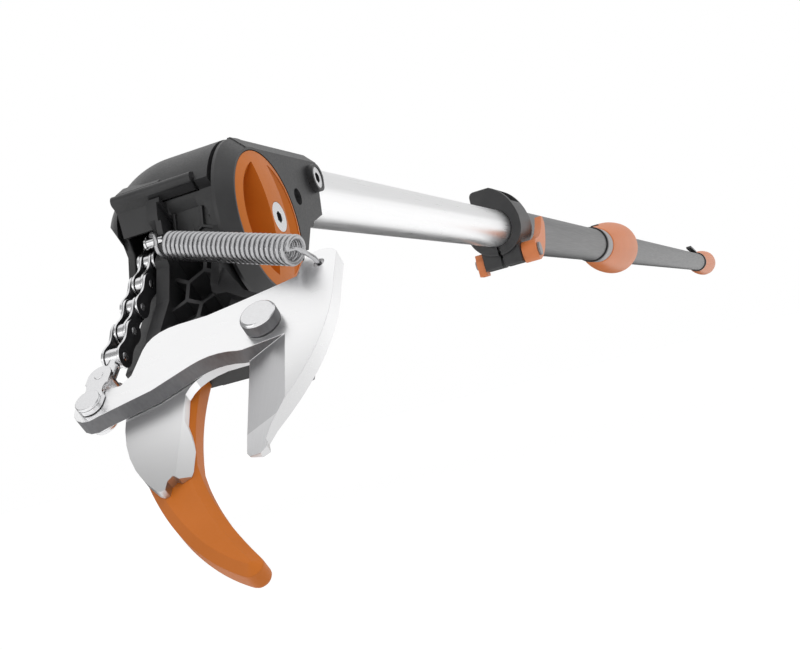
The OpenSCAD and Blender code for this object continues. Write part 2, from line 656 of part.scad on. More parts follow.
module cutting_blade() color(steel) in_head() difference() {
    leaf(blade_rise, blade_front) polygon(blade_outline);
    at_leaf(edge_start, blade_rise + edge_t) rotate([0, 0, edge_lean]) union() {
        rotate([90, 0, 0]) linear_extrude(70)
            polygon([[-6, 0], [0, 0], [bevel_w, bevel_h], [bevel_w, bevel_h + 2], [-6, bevel_h + 2]]);
        translate([0, -facet_at, 0]) rotate([facet_turn, -atan(bevel_h / bevel_w), 0])
            translate([-6, -40, 0]) cube([60, 40, 20]);
    }
    at_leaf(pivot, 0) cylinder(h = big / 8, r = pivot_d / 2 + run_gap);
    at_leaf(ear, 0) cylinder(h = big / 8, r = ear_hole_d / 2);
    at_leaf(lever_end, 0) cylinder(h = big / 8, r = pin_d / 2 + 0.9 + run_gap);
}

// The chain leans a little to the right, turned about the end of the lever
module in_chain() in_head() translate([lever_end.x, -lever_end.y, 0]) rotate([0, 0, -chain_lean])
    translate([-lever_end.x, lever_end.y, 0]) children();

// Rivet pin at the end of the lever
end_plate_in = blade_t / 2 + free_gap;
end_plate_out = end_plate_in + 1.5;
module lever_pin() color(steel) in_head() at_leaf(lever_end, chain_rise) union() {
    translate([0, 0, -end_plate_out - 1.2]) cylinder(h = 2 * end_plate_out + 2.4, r = pin_d / 2 + 0.9);
    for (s = [-1, 1]) translate([0, 0, s * (end_plate_out + 0.6 + gap_fit)])
            cylinder(h = 1.2, r = 4.1, center = true);
}

// Link plate outline between two pins, waisted in the middle
module plate_2d(len, h) difference() {
    union() {
        circle(h / 2);
        translate([len, 0]) circle(h / 2);
        translate([0, -h / 2]) square([len, h]);
    }
    for (s = [-1, 1]) translate([len / 2, s * (h * 0.5 + 2.9)]) circle(4);
}
// Plate square to the swivel axis, from one pin up the chain
module side_plate(x, reach, hole_r) translate([-chain_x + x, -reach, chain_rise]) rotate([0, 90, 0])
    rotate([0, 0, 90])
    linear_extrude(plate_t) difference() {
        plate_2d(pitch, plate_h);
        circle(hole_r);
        translate([pitch, 0]) circle(hole_r);
    }
inner_half = 1.3;
outer_half = inner_half + plate_t + 0.12;
pin_half = outer_half + plate_t + 0.1;
module chain_pin(reach) translate([-chain_x, -reach, chain_rise]) x_rod(-pin_half, pin_half, pin_d / 2);
module outer_link(reach) union() {
    for (x = [-outer_half - plate_t, outer_half]) side_plate(x, reach, pin_d / 2 - eps);
    for (i = [0, 1]) chain_pin(reach - i * pitch);
}
module roller(reach) translate([-chain_x, -reach, chain_rise])
    x_rod(-inner_half - eps, inner_half + eps, roller_d / 2);
module inner_link(reach) difference() {
    union() {
        for (x = [-inner_half - plate_t, inner_half]) side_plate(x, reach, pin_d / 2);
        for (i = [0, 1]) roller(reach - i * pitch);
    }
    for (i = [0, 1]) translate([-chain_x, -reach + i * pitch, chain_rise])
            x_rod(-big / 8, big / 8, pin_d / 2 + run_gap);
}
module chain_outer_links() color(steel) in_chain() for (i = [0, 2]) outer_link(first_pin - i * pitch);
module chain_inner_links() color(steel) in_chain() for (i = [1, 3]) inner_link(first_pin - i * pitch);

// Top link that folds over the drum as the chain winds in
module chain_top_link() color(steel) in_chain() outer_link(first_pin - 4 * pitch);
module cord_anchor() color(dark_steel) in_chain() translate([-chain_x, -first_pin + 5 * pitch, chain_rise])
    difference() {
    x_rod(-inner_half - plate_t, inner_half + plate_t, roller_d / 2);
    x_rod(-big / 8, big / 8, pin_d / 2 + gap_fit);
}

// End link on the lever: two plates and their upper pin
module end_link() color(steel) in_chain() at_leaf([-chain_x, link_reach], chain_rise) difference() {
    union() {
        for (z = [-end_plate_out, end_plate_in]) translate([0, 0, z]) rotate([0, 0, -90])
            linear_extrude(end_plate_out - end_plate_in) plate_2d(pitch, plate_h + 0.6);
        translate([0, 0, -end_plate_out - 0.3]) cylinder(h = 2 * end_plate_out + 0.6, r = pin_d / 2);
    }
    translate([0, -pitch, 0]) cylinder(h = big / 8, r = pin_d / 2 + 0.9 + gap_fit, center = true);
}

// Twisted link: one eye across the chain and one eye facing the front
module twist_link() color(steel) in_chain() difference() {
    union() {
        translate([-chain_x, -first_pin, chain_rise])
            x_rod(-inner_half - plate_t, inner_half + plate_t, roller_d / 2);
        at_leaf([-chain_x, link_reach], chain_rise)
            cylinder(h = blade_t - 0.2, r = roller_d / 2, center = true);
        translate([-chain_x, -link_reach, chain_rise]) y_rod(0, twist_len, 2.1);
    }
    translate([-chain_x, -first_pin, chain_rise]) x_rod(-big / 8, big / 8, pin_d / 2 + run_gap);
    at_leaf([-chain_x, link_reach], chain_rise) cylinder(h = big / 8, r = pin_d / 2 + run_gap, center = true);
}

// Drum on the swivel shaft that the chain winds on
module chain_drum() color(dark_steel) in_head() difference() {
    union() {
        x_rod(-chamber_left + free_gap, -chamber_right - free_gap, drum_r);
        x_rod(-chamber_left + free_gap, -chamber_left + 1.6, drum_r + 3.4);
        x_rod(-chamber_right - 1.2, -chamber_right - free_gap, drum_r + 0.6);
    }
    x_rod(-big / 8, 0, shaft_d / 2 + run_gap);
}

// Return spring: hook over the pin, close coils, and an end through the ear of the blade
wire_r = wire_d / 2;
coil_r = coil_d / 2;
steps = 8;
pin_hook_r = spring_pin_d / 2 + 0.25 + wire_r;
pin_hook_x = rib_left + hook_notch / 2;
coil_from = [-2.8, -30, 21];
coil_to = [ear.x - 4.5, -ear.y + 1.5, blade_front + wire_d / 2 + coil_d / 2 + 0.4];
e1 = unit(coil_to - coil_from);
e3 = unit(cross([0, 0, 1], e1));
e2 = cross(e1, e3);
lead = 4;
first_turn = -45;
coil_len = coils * coil_pitch;
function lead_back(t) = -coil_pitch * t - (lead - coil_pitch) * t * t;
function on_coil(s, a) = coil_from + e1 * s + coil_r * (cos(a) * e2 + sin(a) * e3);
hook_pts = [for (a = [-150:-24:-270])
    [pin_hook_x, -(spring_seat.x + pin_hook_r * cos(a)), spring_seat.y + pin_hook_r * sin(a)]];
lead_in = [for (i = [0:steps]) on_coil(lead_back(1 - i / steps), first_turn - 360 * i / steps)];
helix = [for (i = [1:(coils - 1) * steps]) on_coil(coil_pitch * i / steps, first_turn - 360 * i / steps)];
tail_at = [ear.x, -ear.y, blade_front];
tail = [tail_at + [-5, 1.6, 6.2], tail_at + [-2, 0.2, 4.4], tail_at + [-0.5, 0, 2.2], tail_at + [0, 0, -0.5],
    tail_at + [0, 0, -blade_t - 1.2]];
spring_path = concat(hook_pts, [hook_pts[len(hook_pts) - 1] + [2, -1.2, 0.4]], lead_in, helix, tail);

function unit(v) = v / norm(v);
function tangent(p, i) = unit(p[min(i + 1, len(p) - 1)] - p[max(i - 1, 0)]);
function square_to(v, t) = unit(v - t * (v * t));
function ring_normals(p) = [for (i = 0, v = square_to([0, 0, 1], tangent(p, 0)); i < len(p);
    i = i + 1, v = i < len(p) ? square_to(v, tangent(p, i)) : v) v];
module tube(p, r, sides) {
    normals = ring_normals(p);
    points = [for (i = [0:len(p) - 1]) let (t = tangent(p, i), u = normals[i], w = cross(t, u))
        for (k = [0:sides - 1]) p[i] + r * (cos(360 * k / sides) * u + sin(360 * k / sides) * w)];
    last = (len(p) - 1) * sides;
    walls = [for (i = [0:len(p) - 2], k = [0:sides - 1])
        let (a = i * sides + k, b = i * sides + (k + 1) % sides)
        each [[a, b, a + sides], [b, b + sides, a + sides]]];
    caps = [for (k = [1:sides - 2]) each [[0, k + 1, k], [last, last + k, last + k + 1]]];
    polyhedron(points, concat(caps, walls));
}
spring_gap = min([for (i = [0:len(spring_path) - 1]) for (k = [i + 6:1:min(i + 20, len(spring_path) - 1)])
    norm(spring_path[i] - spring_path[k])]) - wire_d;
echo(least_gap_in_spring = spring_gap);
module return_spring() color(steel) in_head() tube(spring_path, wire_r, 6);

lower_tube();
front_bush();
clamp_body();
clamp_bolt();
clamp_nut();
cam_lever();
end_collar();
end_knob();
pull_ball();
pull_collar();
pull_ring();
pull_tab();
inner_tube();
rear_bush();
neck_right();
neck_left();
neck_screws();
swivel_shaft();
angle_knob();
knob_screw();
head_housing();
rear_cover();
cover_screws();
counter_blade();
branch_hook();
hook_screws();
pivot_bolt();
pivot_nut();
spring_pin();
return_spring();
cutting_blade();
lever_pin();
end_link();
twist_link();
chain_outer_links();
chain_inner_links();
chain_top_link();
cord_anchor();
chain_drum();
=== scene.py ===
import json
import math

import bmesh
import bpy
from mathutils import Matrix, Vector


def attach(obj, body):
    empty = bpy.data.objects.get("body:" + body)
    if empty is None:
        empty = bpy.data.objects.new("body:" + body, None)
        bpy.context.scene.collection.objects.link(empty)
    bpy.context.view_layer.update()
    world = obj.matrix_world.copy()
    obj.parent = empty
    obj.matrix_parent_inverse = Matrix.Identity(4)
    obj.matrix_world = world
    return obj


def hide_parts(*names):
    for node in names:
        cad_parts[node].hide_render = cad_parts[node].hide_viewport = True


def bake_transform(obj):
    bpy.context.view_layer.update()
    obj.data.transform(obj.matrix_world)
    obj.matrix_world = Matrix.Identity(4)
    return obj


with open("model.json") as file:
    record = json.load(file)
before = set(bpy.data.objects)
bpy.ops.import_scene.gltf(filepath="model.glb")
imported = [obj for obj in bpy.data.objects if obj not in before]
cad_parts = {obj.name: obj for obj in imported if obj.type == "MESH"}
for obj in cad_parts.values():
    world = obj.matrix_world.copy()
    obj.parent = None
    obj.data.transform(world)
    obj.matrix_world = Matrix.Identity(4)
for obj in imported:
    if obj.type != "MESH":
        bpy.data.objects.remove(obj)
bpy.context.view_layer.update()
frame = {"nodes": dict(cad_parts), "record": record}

# Studio: the pruner hangs free in front of plain white, seen from close in front of its head.
# The camera stands a little below the pole and leans, so the pole runs up to the right.
# Cards behind it, beside it and near its head show only in gloss, as the sides of a light tent do.
scene = bpy.context.scene
scene.view_settings.view_transform = "Standard"
camera_right = Vector((0.91619, 0.30415, -0.25235))
camera_up = Vector((0.25435, 0.03292, 0.96593))
camera_back = Vector((0.30611, -0.95228, -0.04762))
camera_data = bpy.data.cameras.new("camera")
camera_data.sensor_fit = "HORIZONTAL"
camera_data.sensor_width = 36
camera_data.lens = 57.65
camera_data.clip_start = 0.01
camera = bpy.data.objects.new("camera", camera_data)
camera.matrix_world = Matrix((camera_right, camera_up, camera_back)).transposed().to_4x4()
camera.location = (0.18751, -1.09356, -0.08768)
scene.collection.objects.link(camera)
scene.camera = camera


def seen_directly(nodes, links):
    """One for camera, glossy and transmission rays, nought for the light that reaches matt surfaces."""
    path = nodes.new("ShaderNodeLightPath")
    total = path.outputs["Is Camera Ray"]
    for name in ("Is Glossy Ray", "Is Transmission Ray"):
        either = nodes.new("ShaderNodeMath")
        either.operation = "MAXIMUM"
        links.new(total, either.inputs[0])
        links.new(path.outputs[name], either.inputs[1])
        total = either.outputs[0]
    return total


world = bpy.data.worlds.new("white_tent")
scene.world = world
world.use_nodes = True
nodes, links = world.node_tree.nodes, world.node_tree.links
fill = nodes["Background"]
fill.inputs["Color"].default_value = (1, 1, 1, 1)
fill.inputs["Strength"].default_value = 0.65
backdrop = nodes.new("ShaderNodeBackground")
backdrop.inputs["Color"].default_value = (1, 1, 1, 1)
backdrop.inputs["Strength"].default_value = 1.0
either = nodes.new("ShaderNodeMixShader")
links.new(seen_directly(nodes, links), either.inputs[0])
links.new(fill.outputs[0], either.inputs[1])
links.new(backdrop.outputs[0], either.inputs[2])
links.new(either.outputs[0], nodes["World Output"].inputs["Surface"])


def rectangle(name, centre, facing, width, height):
    """Rectangle of the stage that faces a direction."""
    turn = Vector(facing).to_track_quat("Z", "Y").to_matrix()
    corners = [Vector(centre) + turn @ Vector((x * width / 2, y * height / 2, 0))
               for x, y in ((-1, -1), (1, -1), (1, 1), (-1, 1))]
    mesh = bpy.data.meshes.new(name)
    mesh.from_pydata(corners, [], [(0, 1, 2, 3)])
    made = bpy.data.objects.new(name, mesh)
    scene.collection.objects.link(made)
    return made


floor_height = -0.95
floor = rectangle("floor", (0, 0, floor_height), (0, 0, 1), 80, 80)
floor_paint = bpy.data.materials.new("floor_paint")
floor_paint.use_nodes = True
nodes, links = floor_paint.node_tree.nodes, floor_paint.node_tree.links
shader = nodes["Principled BSDF"]
shader.inputs["Base Color"].default_value = (0.93, 0.93, 0.93, 1)
shader.inputs["Roughness"].default_value = 0.9
glow = nodes.new("ShaderNodeEmission")
links.new(seen_directly(nodes, links), glow.inputs["Strength"])
glow.inputs["Color"].default_value = (0.22, 0.22, 0.22, 1)
both = nodes.new("ShaderNodeAddShader")
links.new(shader.outputs[0], both.inputs[0])
links.new(glow.outputs[0], both.inputs[1])
links.new(both.outputs[0], nodes["Material Output"].inputs["Surface"])
floor.data.materials.append(floor_paint)


def tent_card(name, centre, facing, width, height, grey):
    """Card that only mirror-like surfaces see."""
    card = rectangle(name, centre, facing, width, height)
    paint = bpy.data.materials.new(name + "_paint")
    paint.use_nodes = True
    nodes, links = paint.node_tree.nodes, paint.node_tree.links
    glow = nodes.new("ShaderNodeEmission")
    glow.inputs["Color"].default_value = (grey, grey, grey, 1)
    links.new(glow.outputs[0], nodes["Material Output"].inputs["Surface"])
    card.data.materials.append(paint)
    for ray in ("camera", "diffuse", "transmission", "shadow", "volume_scatter"):
        setattr(card, "visible_" + ray, False)


dark, flag_grey, half_grey, pale = 0.02, 0.3, 0.35, 0.74
tent_card("dark_card", (-3.2, 6.5, floor_height + 0.02), (0, 0, 1), 6, 11, dark)
tent_card("dark_screen", (-3.6, 12, 0.1), (0, -1, 0), 5.5, 2.2, dark)
tent_card("right_card", (7, -0.2, 2.1), (-1, 0, 0), 8, 6, half_grey)
tent_card("left_card", (-7, -0.2, 2.1), (1, 0, 0), 8, 6, half_grey)
tent_card("pale_card", (-1, 9, 4.2), (0, -1, -0.3), 14, 6, pale)
tent_card("grey_flag", (-0.66, -1.12, 0.55), (0.66, 0.34, -0.66), 0.9, 0.7, flag_grey)


def lamp(name, kind, energy, place, target, **sizes):
    """Lamp at a place that points at a target."""
    data = bpy.data.lights.new(name, kind)
    data.energy = energy
    for key, value in sizes.items():
        setattr(data, key, value)
    made = bpy.data.objects.new(name, data)
    made.location = place
    made.rotation_euler = (Vector(target) - Vector(place)).to_track_quat("-Z", "Y").to_euler()
    scene.collection.objects.link(made)
    return made


head_spot = (0, -0.72, -0.05)
top_light = lamp("top_light", "SUN", 0.95, (1.2, -1.5, 2.3), head_spot, angle=math.radians(35))
top_light.visible_glossy = False
lamp("front_fill", "AREA", 2.5, (-0.9, -1.6, 0.6), head_spot, size=0.9)


# Outer tube: drawn aluminium with a satin grey anodised skin, open at the front for the inner tube.
# The guide bush is a black plastic ring pushed into its mouth.
def new_finish(name, colour, metallic, roughness):
    """Finish whose constants stand on the shader's own sockets."""
    finish = bpy.data.materials.new(name)
    finish.use_nodes = True
    shader = finish.node_tree.nodes["Principled BSDF"]
    shader.inputs["Base Color"].default_value = (*colour, 1)
    shader.inputs["Metallic"].default_value = metallic
    shader.inputs["Roughness"].default_value = roughness
    return finish


def grain(finish, size, stretch=(1, 1, 1), turn=0.0, detail=3.0):
    """Noise on object coordinates with spots of the given size in metres, drawn out along an axis."""
    nodes, links = finish.node_tree.nodes, finish.node_tree.links
    place = nodes.new("ShaderNodeTexCoord")
    mapping = nodes.new("ShaderNodeMapping")
    mapping.vector_type = "TEXTURE"
    mapping.inputs["Rotation"].default_value = (turn, 0, 0)
    mapping.inputs["Scale"].default_value = stretch
    noise = nodes.new("ShaderNodeTexNoise")
    noise.inputs["Scale"].default_value = 1 / size
    noise.inputs["Detail"].default_value = detail
    links.new(place.outputs["Object"], mapping.inputs["Vector"])
    links.new(mapping.outputs["Vector"], noise.inputs["Vector"])
    return noise.outputs["Fac"]


noise_low, noise_high = 0.3, 0.7


def vary(finish, value, socket, low, high):
    """Runs a shader value from low to high with a noise."""
    nodes, links = finish.node_tree.nodes, finish.node_tree.links
    span = nodes.new("ShaderNodeMapRange")
    span.inputs["From Min"].default_value = noise_low
    span.inputs["From Max"].default_value = noise_high
    span.inputs["To Min"].default_value = low
    span.inputs["To Max"].default_value = high
    links.new(value, span.inputs["Value"])
    links.new(span.outputs["Result"], nodes["Principled BSDF"].inputs[socket])


def shade(finish, value, dark, light):
    """Runs the colour between two tones with a noise."""
    nodes, links = finish.node_tree.nodes, finish.node_tree.links
    tones = nodes.new("ShaderNodeValToRGB")
    tones.color_ramp.elements[0].position = noise_low
    tones.color_ramp.elements[1].position = noise_high
    tones.color_ramp.elements[0].color = (*dark, 1)
    tones.color_ramp.elements[1].color = (*light, 1)
    links.new(value, tones.inputs["Fac"])
    links.new(tones.outputs["Color"], nodes["Principled BSDF"].inputs["Base Color"])


def roughen(finish, value, depth, strength=1.0):
    """Fine relief of the given depth in metres."""
    nodes, links = finish.node_tree.nodes, finish.node_tree.links
    relief = nodes.new("ShaderNodeBump")
    relief.inputs["Distance"].default_value = depth
    relief.inputs["Strength"].default_value = strength
    links.new(value, relief.inputs["Height"])
    links.new(relief.outputs["Normal"], nodes["Principled BSDF"].inputs["Normal"])


def body_of(node):
    """CAD body that a node rides on."""
    return next(body for body, members in frame["record"]["behaviour"]["bodies"].items() if node in members)


def dress(node, finish):
    """Gives a CAD node that keeps its own shape its finish."""
    target = frame["nodes"][node]
    target.data.materials.clear()
    target.data.materials.append(finish)


def settle(piece):
    """Keeps the finished shape of a piece as its plain mesh."""
    seen = bpy.context.evaluated_depsgraph_get()
    mesh = bpy.data.meshes.new_from_object(piece.evaluated_get(seen), preserve_all_data_layers=True,
                                           depsgraph=seen)
    piece.modifiers.clear()
    piece.data = mesh


crisp_angle = math.radians(42)


def even_shading(piece):
    """Smooth shading that keeps the real edges crisp and the flats flat."""
    piece.data.shade_smooth()
    piece.data.set_sharp_from_angle(angle=crisp_angle)
    even = piece.modifiers.new("even", "WEIGHTED_NORMAL")
    even.keep_sharp = True
    settle(piece)


def soften(piece, edge, sharp=28, steps=2):
    """Breaks the sharp edges of a piece, as moulding and tumbling leave them, and evens its shading."""
    bevel = piece.modifiers.new("edge", "BEVEL")
    bevel.width = edge
    bevel.segments = steps
    bevel.limit_method = "ANGLE"
    bevel.angle_limit = math.radians(sharp)
    settle(piece)
    even_shading(piece)


weld_gap, flat_angle = 3e-6, math.radians(0.6)


def eased(node, finish, edge, sharp=28, steps=2):
    """Copy of a CAD node with its sharp edges broken."""
    shape = bmesh.new()
    shape.from_mesh(frame["nodes"][node].data)
    bmesh.ops.remove_doubles(shape, verts=shape.verts, dist=weld_gap)
    bmesh.ops.dissolve_limit(shape, angle_limit=flat_angle, verts=shape.verts, edges=shape.edges)
    mesh = bpy.data.meshes.new(node + "_eased")
    shape.to_mesh(mesh)
    shape.free()
    mesh.materials.append(finish)
    piece = bpy.data.objects.new(node + "_eased", mesh)
    scene.collection.objects.link(piece)
    soften(piece, edge, sharp, steps)
    stand_for(piece, node)
    return piece


def stand_for(piece, node):
    """Puts a piece on the body of the CAD node that it replaces."""
    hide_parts(node)
    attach(piece, body_of(node))


grey_anodised = new_finish("grey_anodised", (0.25, 0.25, 0.255), metallic=0.35, roughness=0.42)
drawn = grain(grey_anodised, 0.0006, stretch=(1, 60, 1))
shade(grey_anodised, drawn, (0.105, 0.105, 0.107), (0.123, 0.123, 0.125))
vary(grey_anodised, drawn, "Roughness", low=0.36, high=0.46)
roughen(grey_anodised, drawn, depth=0.00002)
dress("lower_tube", grey_anodised)

black_moulding = new_finish("black_moulding", (0.022, 0.022, 0.023), metallic=0.0, roughness=0.42)
sparks = grain(black_moulding, 0.0007)
shade(black_moulding, grain(black_moulding, 0.012), (0.018, 0.018, 0.019), (0.027, 0.027, 0.028))
vary(black_moulding, sparks, "Roughness", low=0.36, high=0.48)
roughen(black_moulding, sparks, depth=0.00003, strength=0.6)
dress("front_bush", black_moulding)

# Tube clamp: a split black ring with two ears below and a hollow hood above, closed by a cross bolt.
# The orange cam lever swings on the bolt's right end, and an orange thumb nut holds the left end.
orange_moulding = new_finish("orange_moulding", (0.56, 0.12, 0.008), metallic=0.0, roughness=0.45)
orange_moulding.node_tree.nodes["Principled BSDF"].inputs["Specular IOR Level"].default_value = 0.3
shade(orange_moulding, grain(orange_moulding, 0.015), (0.51, 0.135, 0.010), (0.55, 0.148, 0.014))
peel = grain(orange_moulding, 0.0009)
vary(orange_moulding, peel, "Roughness", low=0.42, high=0.5)
roughen(orange_moulding, peel, depth=0.000025, strength=0.5)

dark_plated = new_finish("dark_plated", (0.22, 0.22, 0.23), metallic=1.0, roughness=0.35)
spangle = grain(dark_plated, 0.0012)
shade(dark_plated, spangle, (0.18, 0.18, 0.19), (0.27, 0.27, 0.28))
vary(dark_plated, spangle, "Roughness", low=0.28, high=0.42)

soft_orange = new_finish("soft_orange", (0.66, 0.2, 0.06), metallic=0.0, roughness=0.42)
shade(soft_orange, grain(soft_orange, 0.02), (0.64, 0.19, 0.055), (0.68, 0.205, 0.065))
peel = grain(soft_orange, 0.0012)
vary(soft_orange, peel, "Roughness", low=0.38, high=0.46)
roughen(soft_orange, peel, depth=0.00003, strength=0.5)


def loft(shape, rings):
    """Joins rings of points with strips and closes both ends."""
    rows = [[shape.verts.new(point) for point in ring] for ring in rings]
    count = len(rows[0])
    for low, high in zip(rows, rows[1:]):
        for i in range(count):
            shape.faces.new((low[i - 1], low[i], high[i], high[i - 1]))
    shape.faces.new(rows[0])
    shape.faces.new(rows[-1])


def inset(outline, depth):
    """Outline moved inward by a depth; it runs anticlockwise."""
    moved = []
    for i, here in enumerate(outline):
        before = (here - outline[i - 1]).normalized()
        after = (outline[(i + 1) % len(outline)] - here).normalized()
        inward = Vector((-before.y - after.y, before.x + after.x)).normalized()
        moved.append(here + inward * depth / max(0.5, inward.dot(Vector((-before.y, before.x)))))
    return moved


def slab(shape, outline, low, high, rim, place, slope=None):
    """Flat solid with rounded rims between two levels; slope is the width and depth of a flat edge on top."""
    outline = [Vector(point) for point in outline]
    if sum(a.x * b.y - b.x * a.y for a, b in zip(outline, outline[1:] + outline[:1])) < 0:
        outline.reverse()
    turns = [math.radians(22.5 * step) for step in range(5)]
    levels = [(rim * (1 - math.sin(turn)), low + rim * (1 - math.cos(turn))) for turn in turns]
    if slope:
        width, fall = slope
        levels += [(width * across, high - fall * (1 - up))
                   for across, up in ((0, 0), (0.07, 0.12), (0.92, 0.95), (1, 1))]
    else:
        levels += [(rim * (1 - math.sin(turn)), high - rim * (1 - math.cos(turn)))
                   for turn in reversed(turns)]
    loft(shape, [[place(u, v, level) for u, v in inset(outline, depth)] for depth, level in levels])


def piece_of(name, shape, finish):
    """Object made from a finished shape."""
    bmesh.ops.recalc_face_normals(shape, faces=shape.faces)
    mesh = bpy.data.meshes.new(name)
    shape.to_mesh(mesh)
    shape.free()
    mesh.materials.append(finish)
    piece = bpy.data.objects.new(name, mesh)
    scene.collection.objects.link(piece)
    return piece


def sweep_between(p, q, r, steps):
    """Points of a curve from p to r that leaves and arrives along the lines to q."""
    return [Vector(p) * (1 - t) ** 2 + Vector(q) * 2 * t * (1 - t) + Vector(r) * t * t
            for t in (step / steps for step in range(steps + 1))]


def round_points(centre, radius, first, last, steps):
    """Points of an arc between two angles in degrees."""
    return [Vector(centre) + radius * Vector((math.cos(turn), math.sin(turn)))
            for turn in (math.radians(first + (last - first) * step / steps) for step in range(steps + 1))]


def carve(piece, cutters):
    """Takes the cutters' forms out of a piece."""
    for cutter in cutters:
        taken = piece.modifiers.new(cutter.name, "BOOLEAN")
        taken.object = cutter
        taken.solver = "EXACT"
        taken.use_self = True
    settle(piece)
    for cutter in cutters:
        bpy.data.objects.remove(cutter)


clamp_before_grip = 242


def on_clamp(x, z, y):
    """Point of the clamp in millimetres, seen from the head and measured along the pole."""
    return Vector((x / 1000, (y - clamp_before_grip) / 1000, z / 1000))


def clamp_cutter(name, outline, low, high):
    """Cutter with an outline that runs along the pole."""
    shape = bmesh.new()
    loft(shape, [[on_clamp(x, z, y) for x, z in outline] for y in (low, high)])
    return piece_of(name, shape, black_moulding)


ring_radius, outer_tube_radius, inner_tube_bore, past_clamp = 19, 15.5, 12.8, 40
hooded = round_points((0, 0), ring_radius, -140, 4, 48)
hooded += sweep_between((ring_radius, 4), (16, 21.5), (3.5, 27.5), 10) + [Vector((-7.5, 27.5))]
hooded += sweep_between((-8.5, 27.3), (-11, 26.5), (-11, 23), 4)
hooded += round_points((0, 0), ring_radius, 125.4, 215, 30)
ears = [(-13.4, -26.5), (13.4, -26.5), (13.4, -8), (-13.4, -8)]
slit = [(-1, -past_clamp), (1, -past_clamp), (1, -10), (-1, -10)]
pocket = [(-6, 21), (30, 12), (30, 25.6), (-6, 25.6)]
shape = bmesh.new()
slab(shape, hooded, low=-12.5, high=24, rim=1.3, place=on_clamp)
slab(shape, ears, low=-9, high=9, rim=1.6, place=on_clamp)
clamp = piece_of("hooded_clamp", shape, black_moulding)
carve(clamp, [clamp_cutter("tube_bore", round_points((0, 0), outer_tube_radius, 0, 354, 59), -8, past_clamp),
              clamp_cutter("front_bore", round_points((0, 0), inner_tube_bore, 0, 354, 59), -past_clamp, 0),
              clamp_cutter("slit", slit, -past_clamp, past_clamp),
              clamp_cutter("pocket", pocket, -7, 19)])
even_shading(clamp)
stand_for(clamp, "clamp_body")
eased("cam_lever", soft_orange, edge=0.0014, steps=3)
eased("clamp_nut", soft_orange, edge=0.0014, steps=3)
dress("clamp_bolt", dark_plated)


# Butt end: the orange knob with its tapered throat is pushed over the outer tube.
# The black collar in front of it carries the hanging hook.
def full_turn(sides):
    """Angles of the corners of a round with the given number of sides."""
    return [2 * math.pi * step / sides for step in range(sides)]


def turned_knob(node, middle, throat, radius, mouth, flat, inside):
    """Ball with a rounded throat round the pole, from the mouth of the throat to the flat on the back."""
    throat_steps, dome_steps, sides, weld = 16, 12, 72, 0.00002
    profile = []
    for step in range(throat_steps + 1):
        ahead = 1 - step / throat_steps
        profile.append((mouth + (radius - mouth) * (1 - ahead ** 2), -throat * ahead))
    last = math.acos(flat / radius)
    for step in range(1, dome_steps + 1):
        turn = last * step / dome_steps
        profile.append((radius * math.cos(turn), radius * math.sin(turn)))
    profile += inside
    shape = bmesh.new()
    rows = [[shape.verts.new(Vector((r * math.cos(turn), middle + along, r * math.sin(turn))) / 1000)
             for turn in full_turn(sides)] for r, along in profile]
    for low, high in zip(rows, rows[1:] + rows[:1]):
        for i in range(sides):
            shape.faces.new((low[i - 1], low[i], high[i], high[i - 1]))
    bmesh.ops.remove_doubles(shape, verts=shape.verts, dist=weld)
    knob = piece_of(node + "_turned", shape, soft_orange)
    soften(knob, edge=0.0008, sharp=35)
    stand_for(knob, node)


turned_knob("end_knob", middle=1495, throat=150, radius=23.2, mouth=17.5, flat=8,
            inside=[(0.005, 21.77), (0.005, -12.98), (15.52, -12.98), (15.52, -150)])
eased("end_collar", black_moulding, edge=0.0008)

# Pull handle: an orange ball with a long tapered throat that slides on the outer tube.
# A grey collar, a black ring and a dark tab are pushed into its front.
grey_moulding = new_finish("grey_moulding", (0.30, 0.30, 0.31), metallic=0.0, roughness=0.42)
peel = grain(grey_moulding, 0.0008)
shade(grey_moulding, grain(grey_moulding, 0.01), (0.27, 0.27, 0.28), (0.33, 0.33, 0.34))
vary(grey_moulding, peel, "Roughness", low=0.36, high=0.48)
roughen(grey_moulding, peel, depth=0.000025, strength=0.5)
turned_knob("pull_ball", middle=285, throat=105, radius=27, mouth=17.5, flat=15.8, inside=[(15.8, -105)])
eased("pull_collar", grey_moulding, edge=0.0006)
eased("pull_ring", black_moulding, edge=0.0006)
eased("pull_tab", black_moulding, edge=0.0008)

# Inner tube: bright drawn aluminium that slides in the outer tube, with fine drawing lines along it.
# Its rear guide bush is hidden in the outer tube.
bright_aluminium = new_finish("bright_aluminium", (0.80, 0.80, 0.81), metallic=1.0, roughness=0.3)
drawn = grain(bright_aluminium, 0.0005, stretch=(1, 80, 1))
shade(bright_aluminium, drawn, (0.92, 0.92, 0.925), (0.95, 0.95, 0.955))
vary(bright_aluminium, drawn, "Roughness", low=0.27, high=0.33)
roughen(bright_aluminium, drawn, depth=0.000004)
dress("inner_tube", bright_aluminium)
dress("rear_bush", black_moulding)

# Neck: two black halves bolted round the inner tube, with the disc that the head swivels against.
# Two steel socket screws hold the halves, and a steel shaft carries the head.
bright_plated = new_finish("bright_plated", (0.66, 0.66, 0.67), metallic=1.0, roughness=0.22)
spangle = grain(bright_plated, 0.0009)
shade(bright_plated, spangle, (0.76, 0.76, 0.77), (0.79, 0.79, 0.80))
vary(bright_plated, spangle, "Roughness", low=0.22, high=0.24)
eased("neck_right", black_moulding, edge=0.0016, sharp=25, steps=3)
eased("neck_left", black_moulding, edge=0.0012, steps=3)
swivel = Vector((0, -0.677, -0.019))


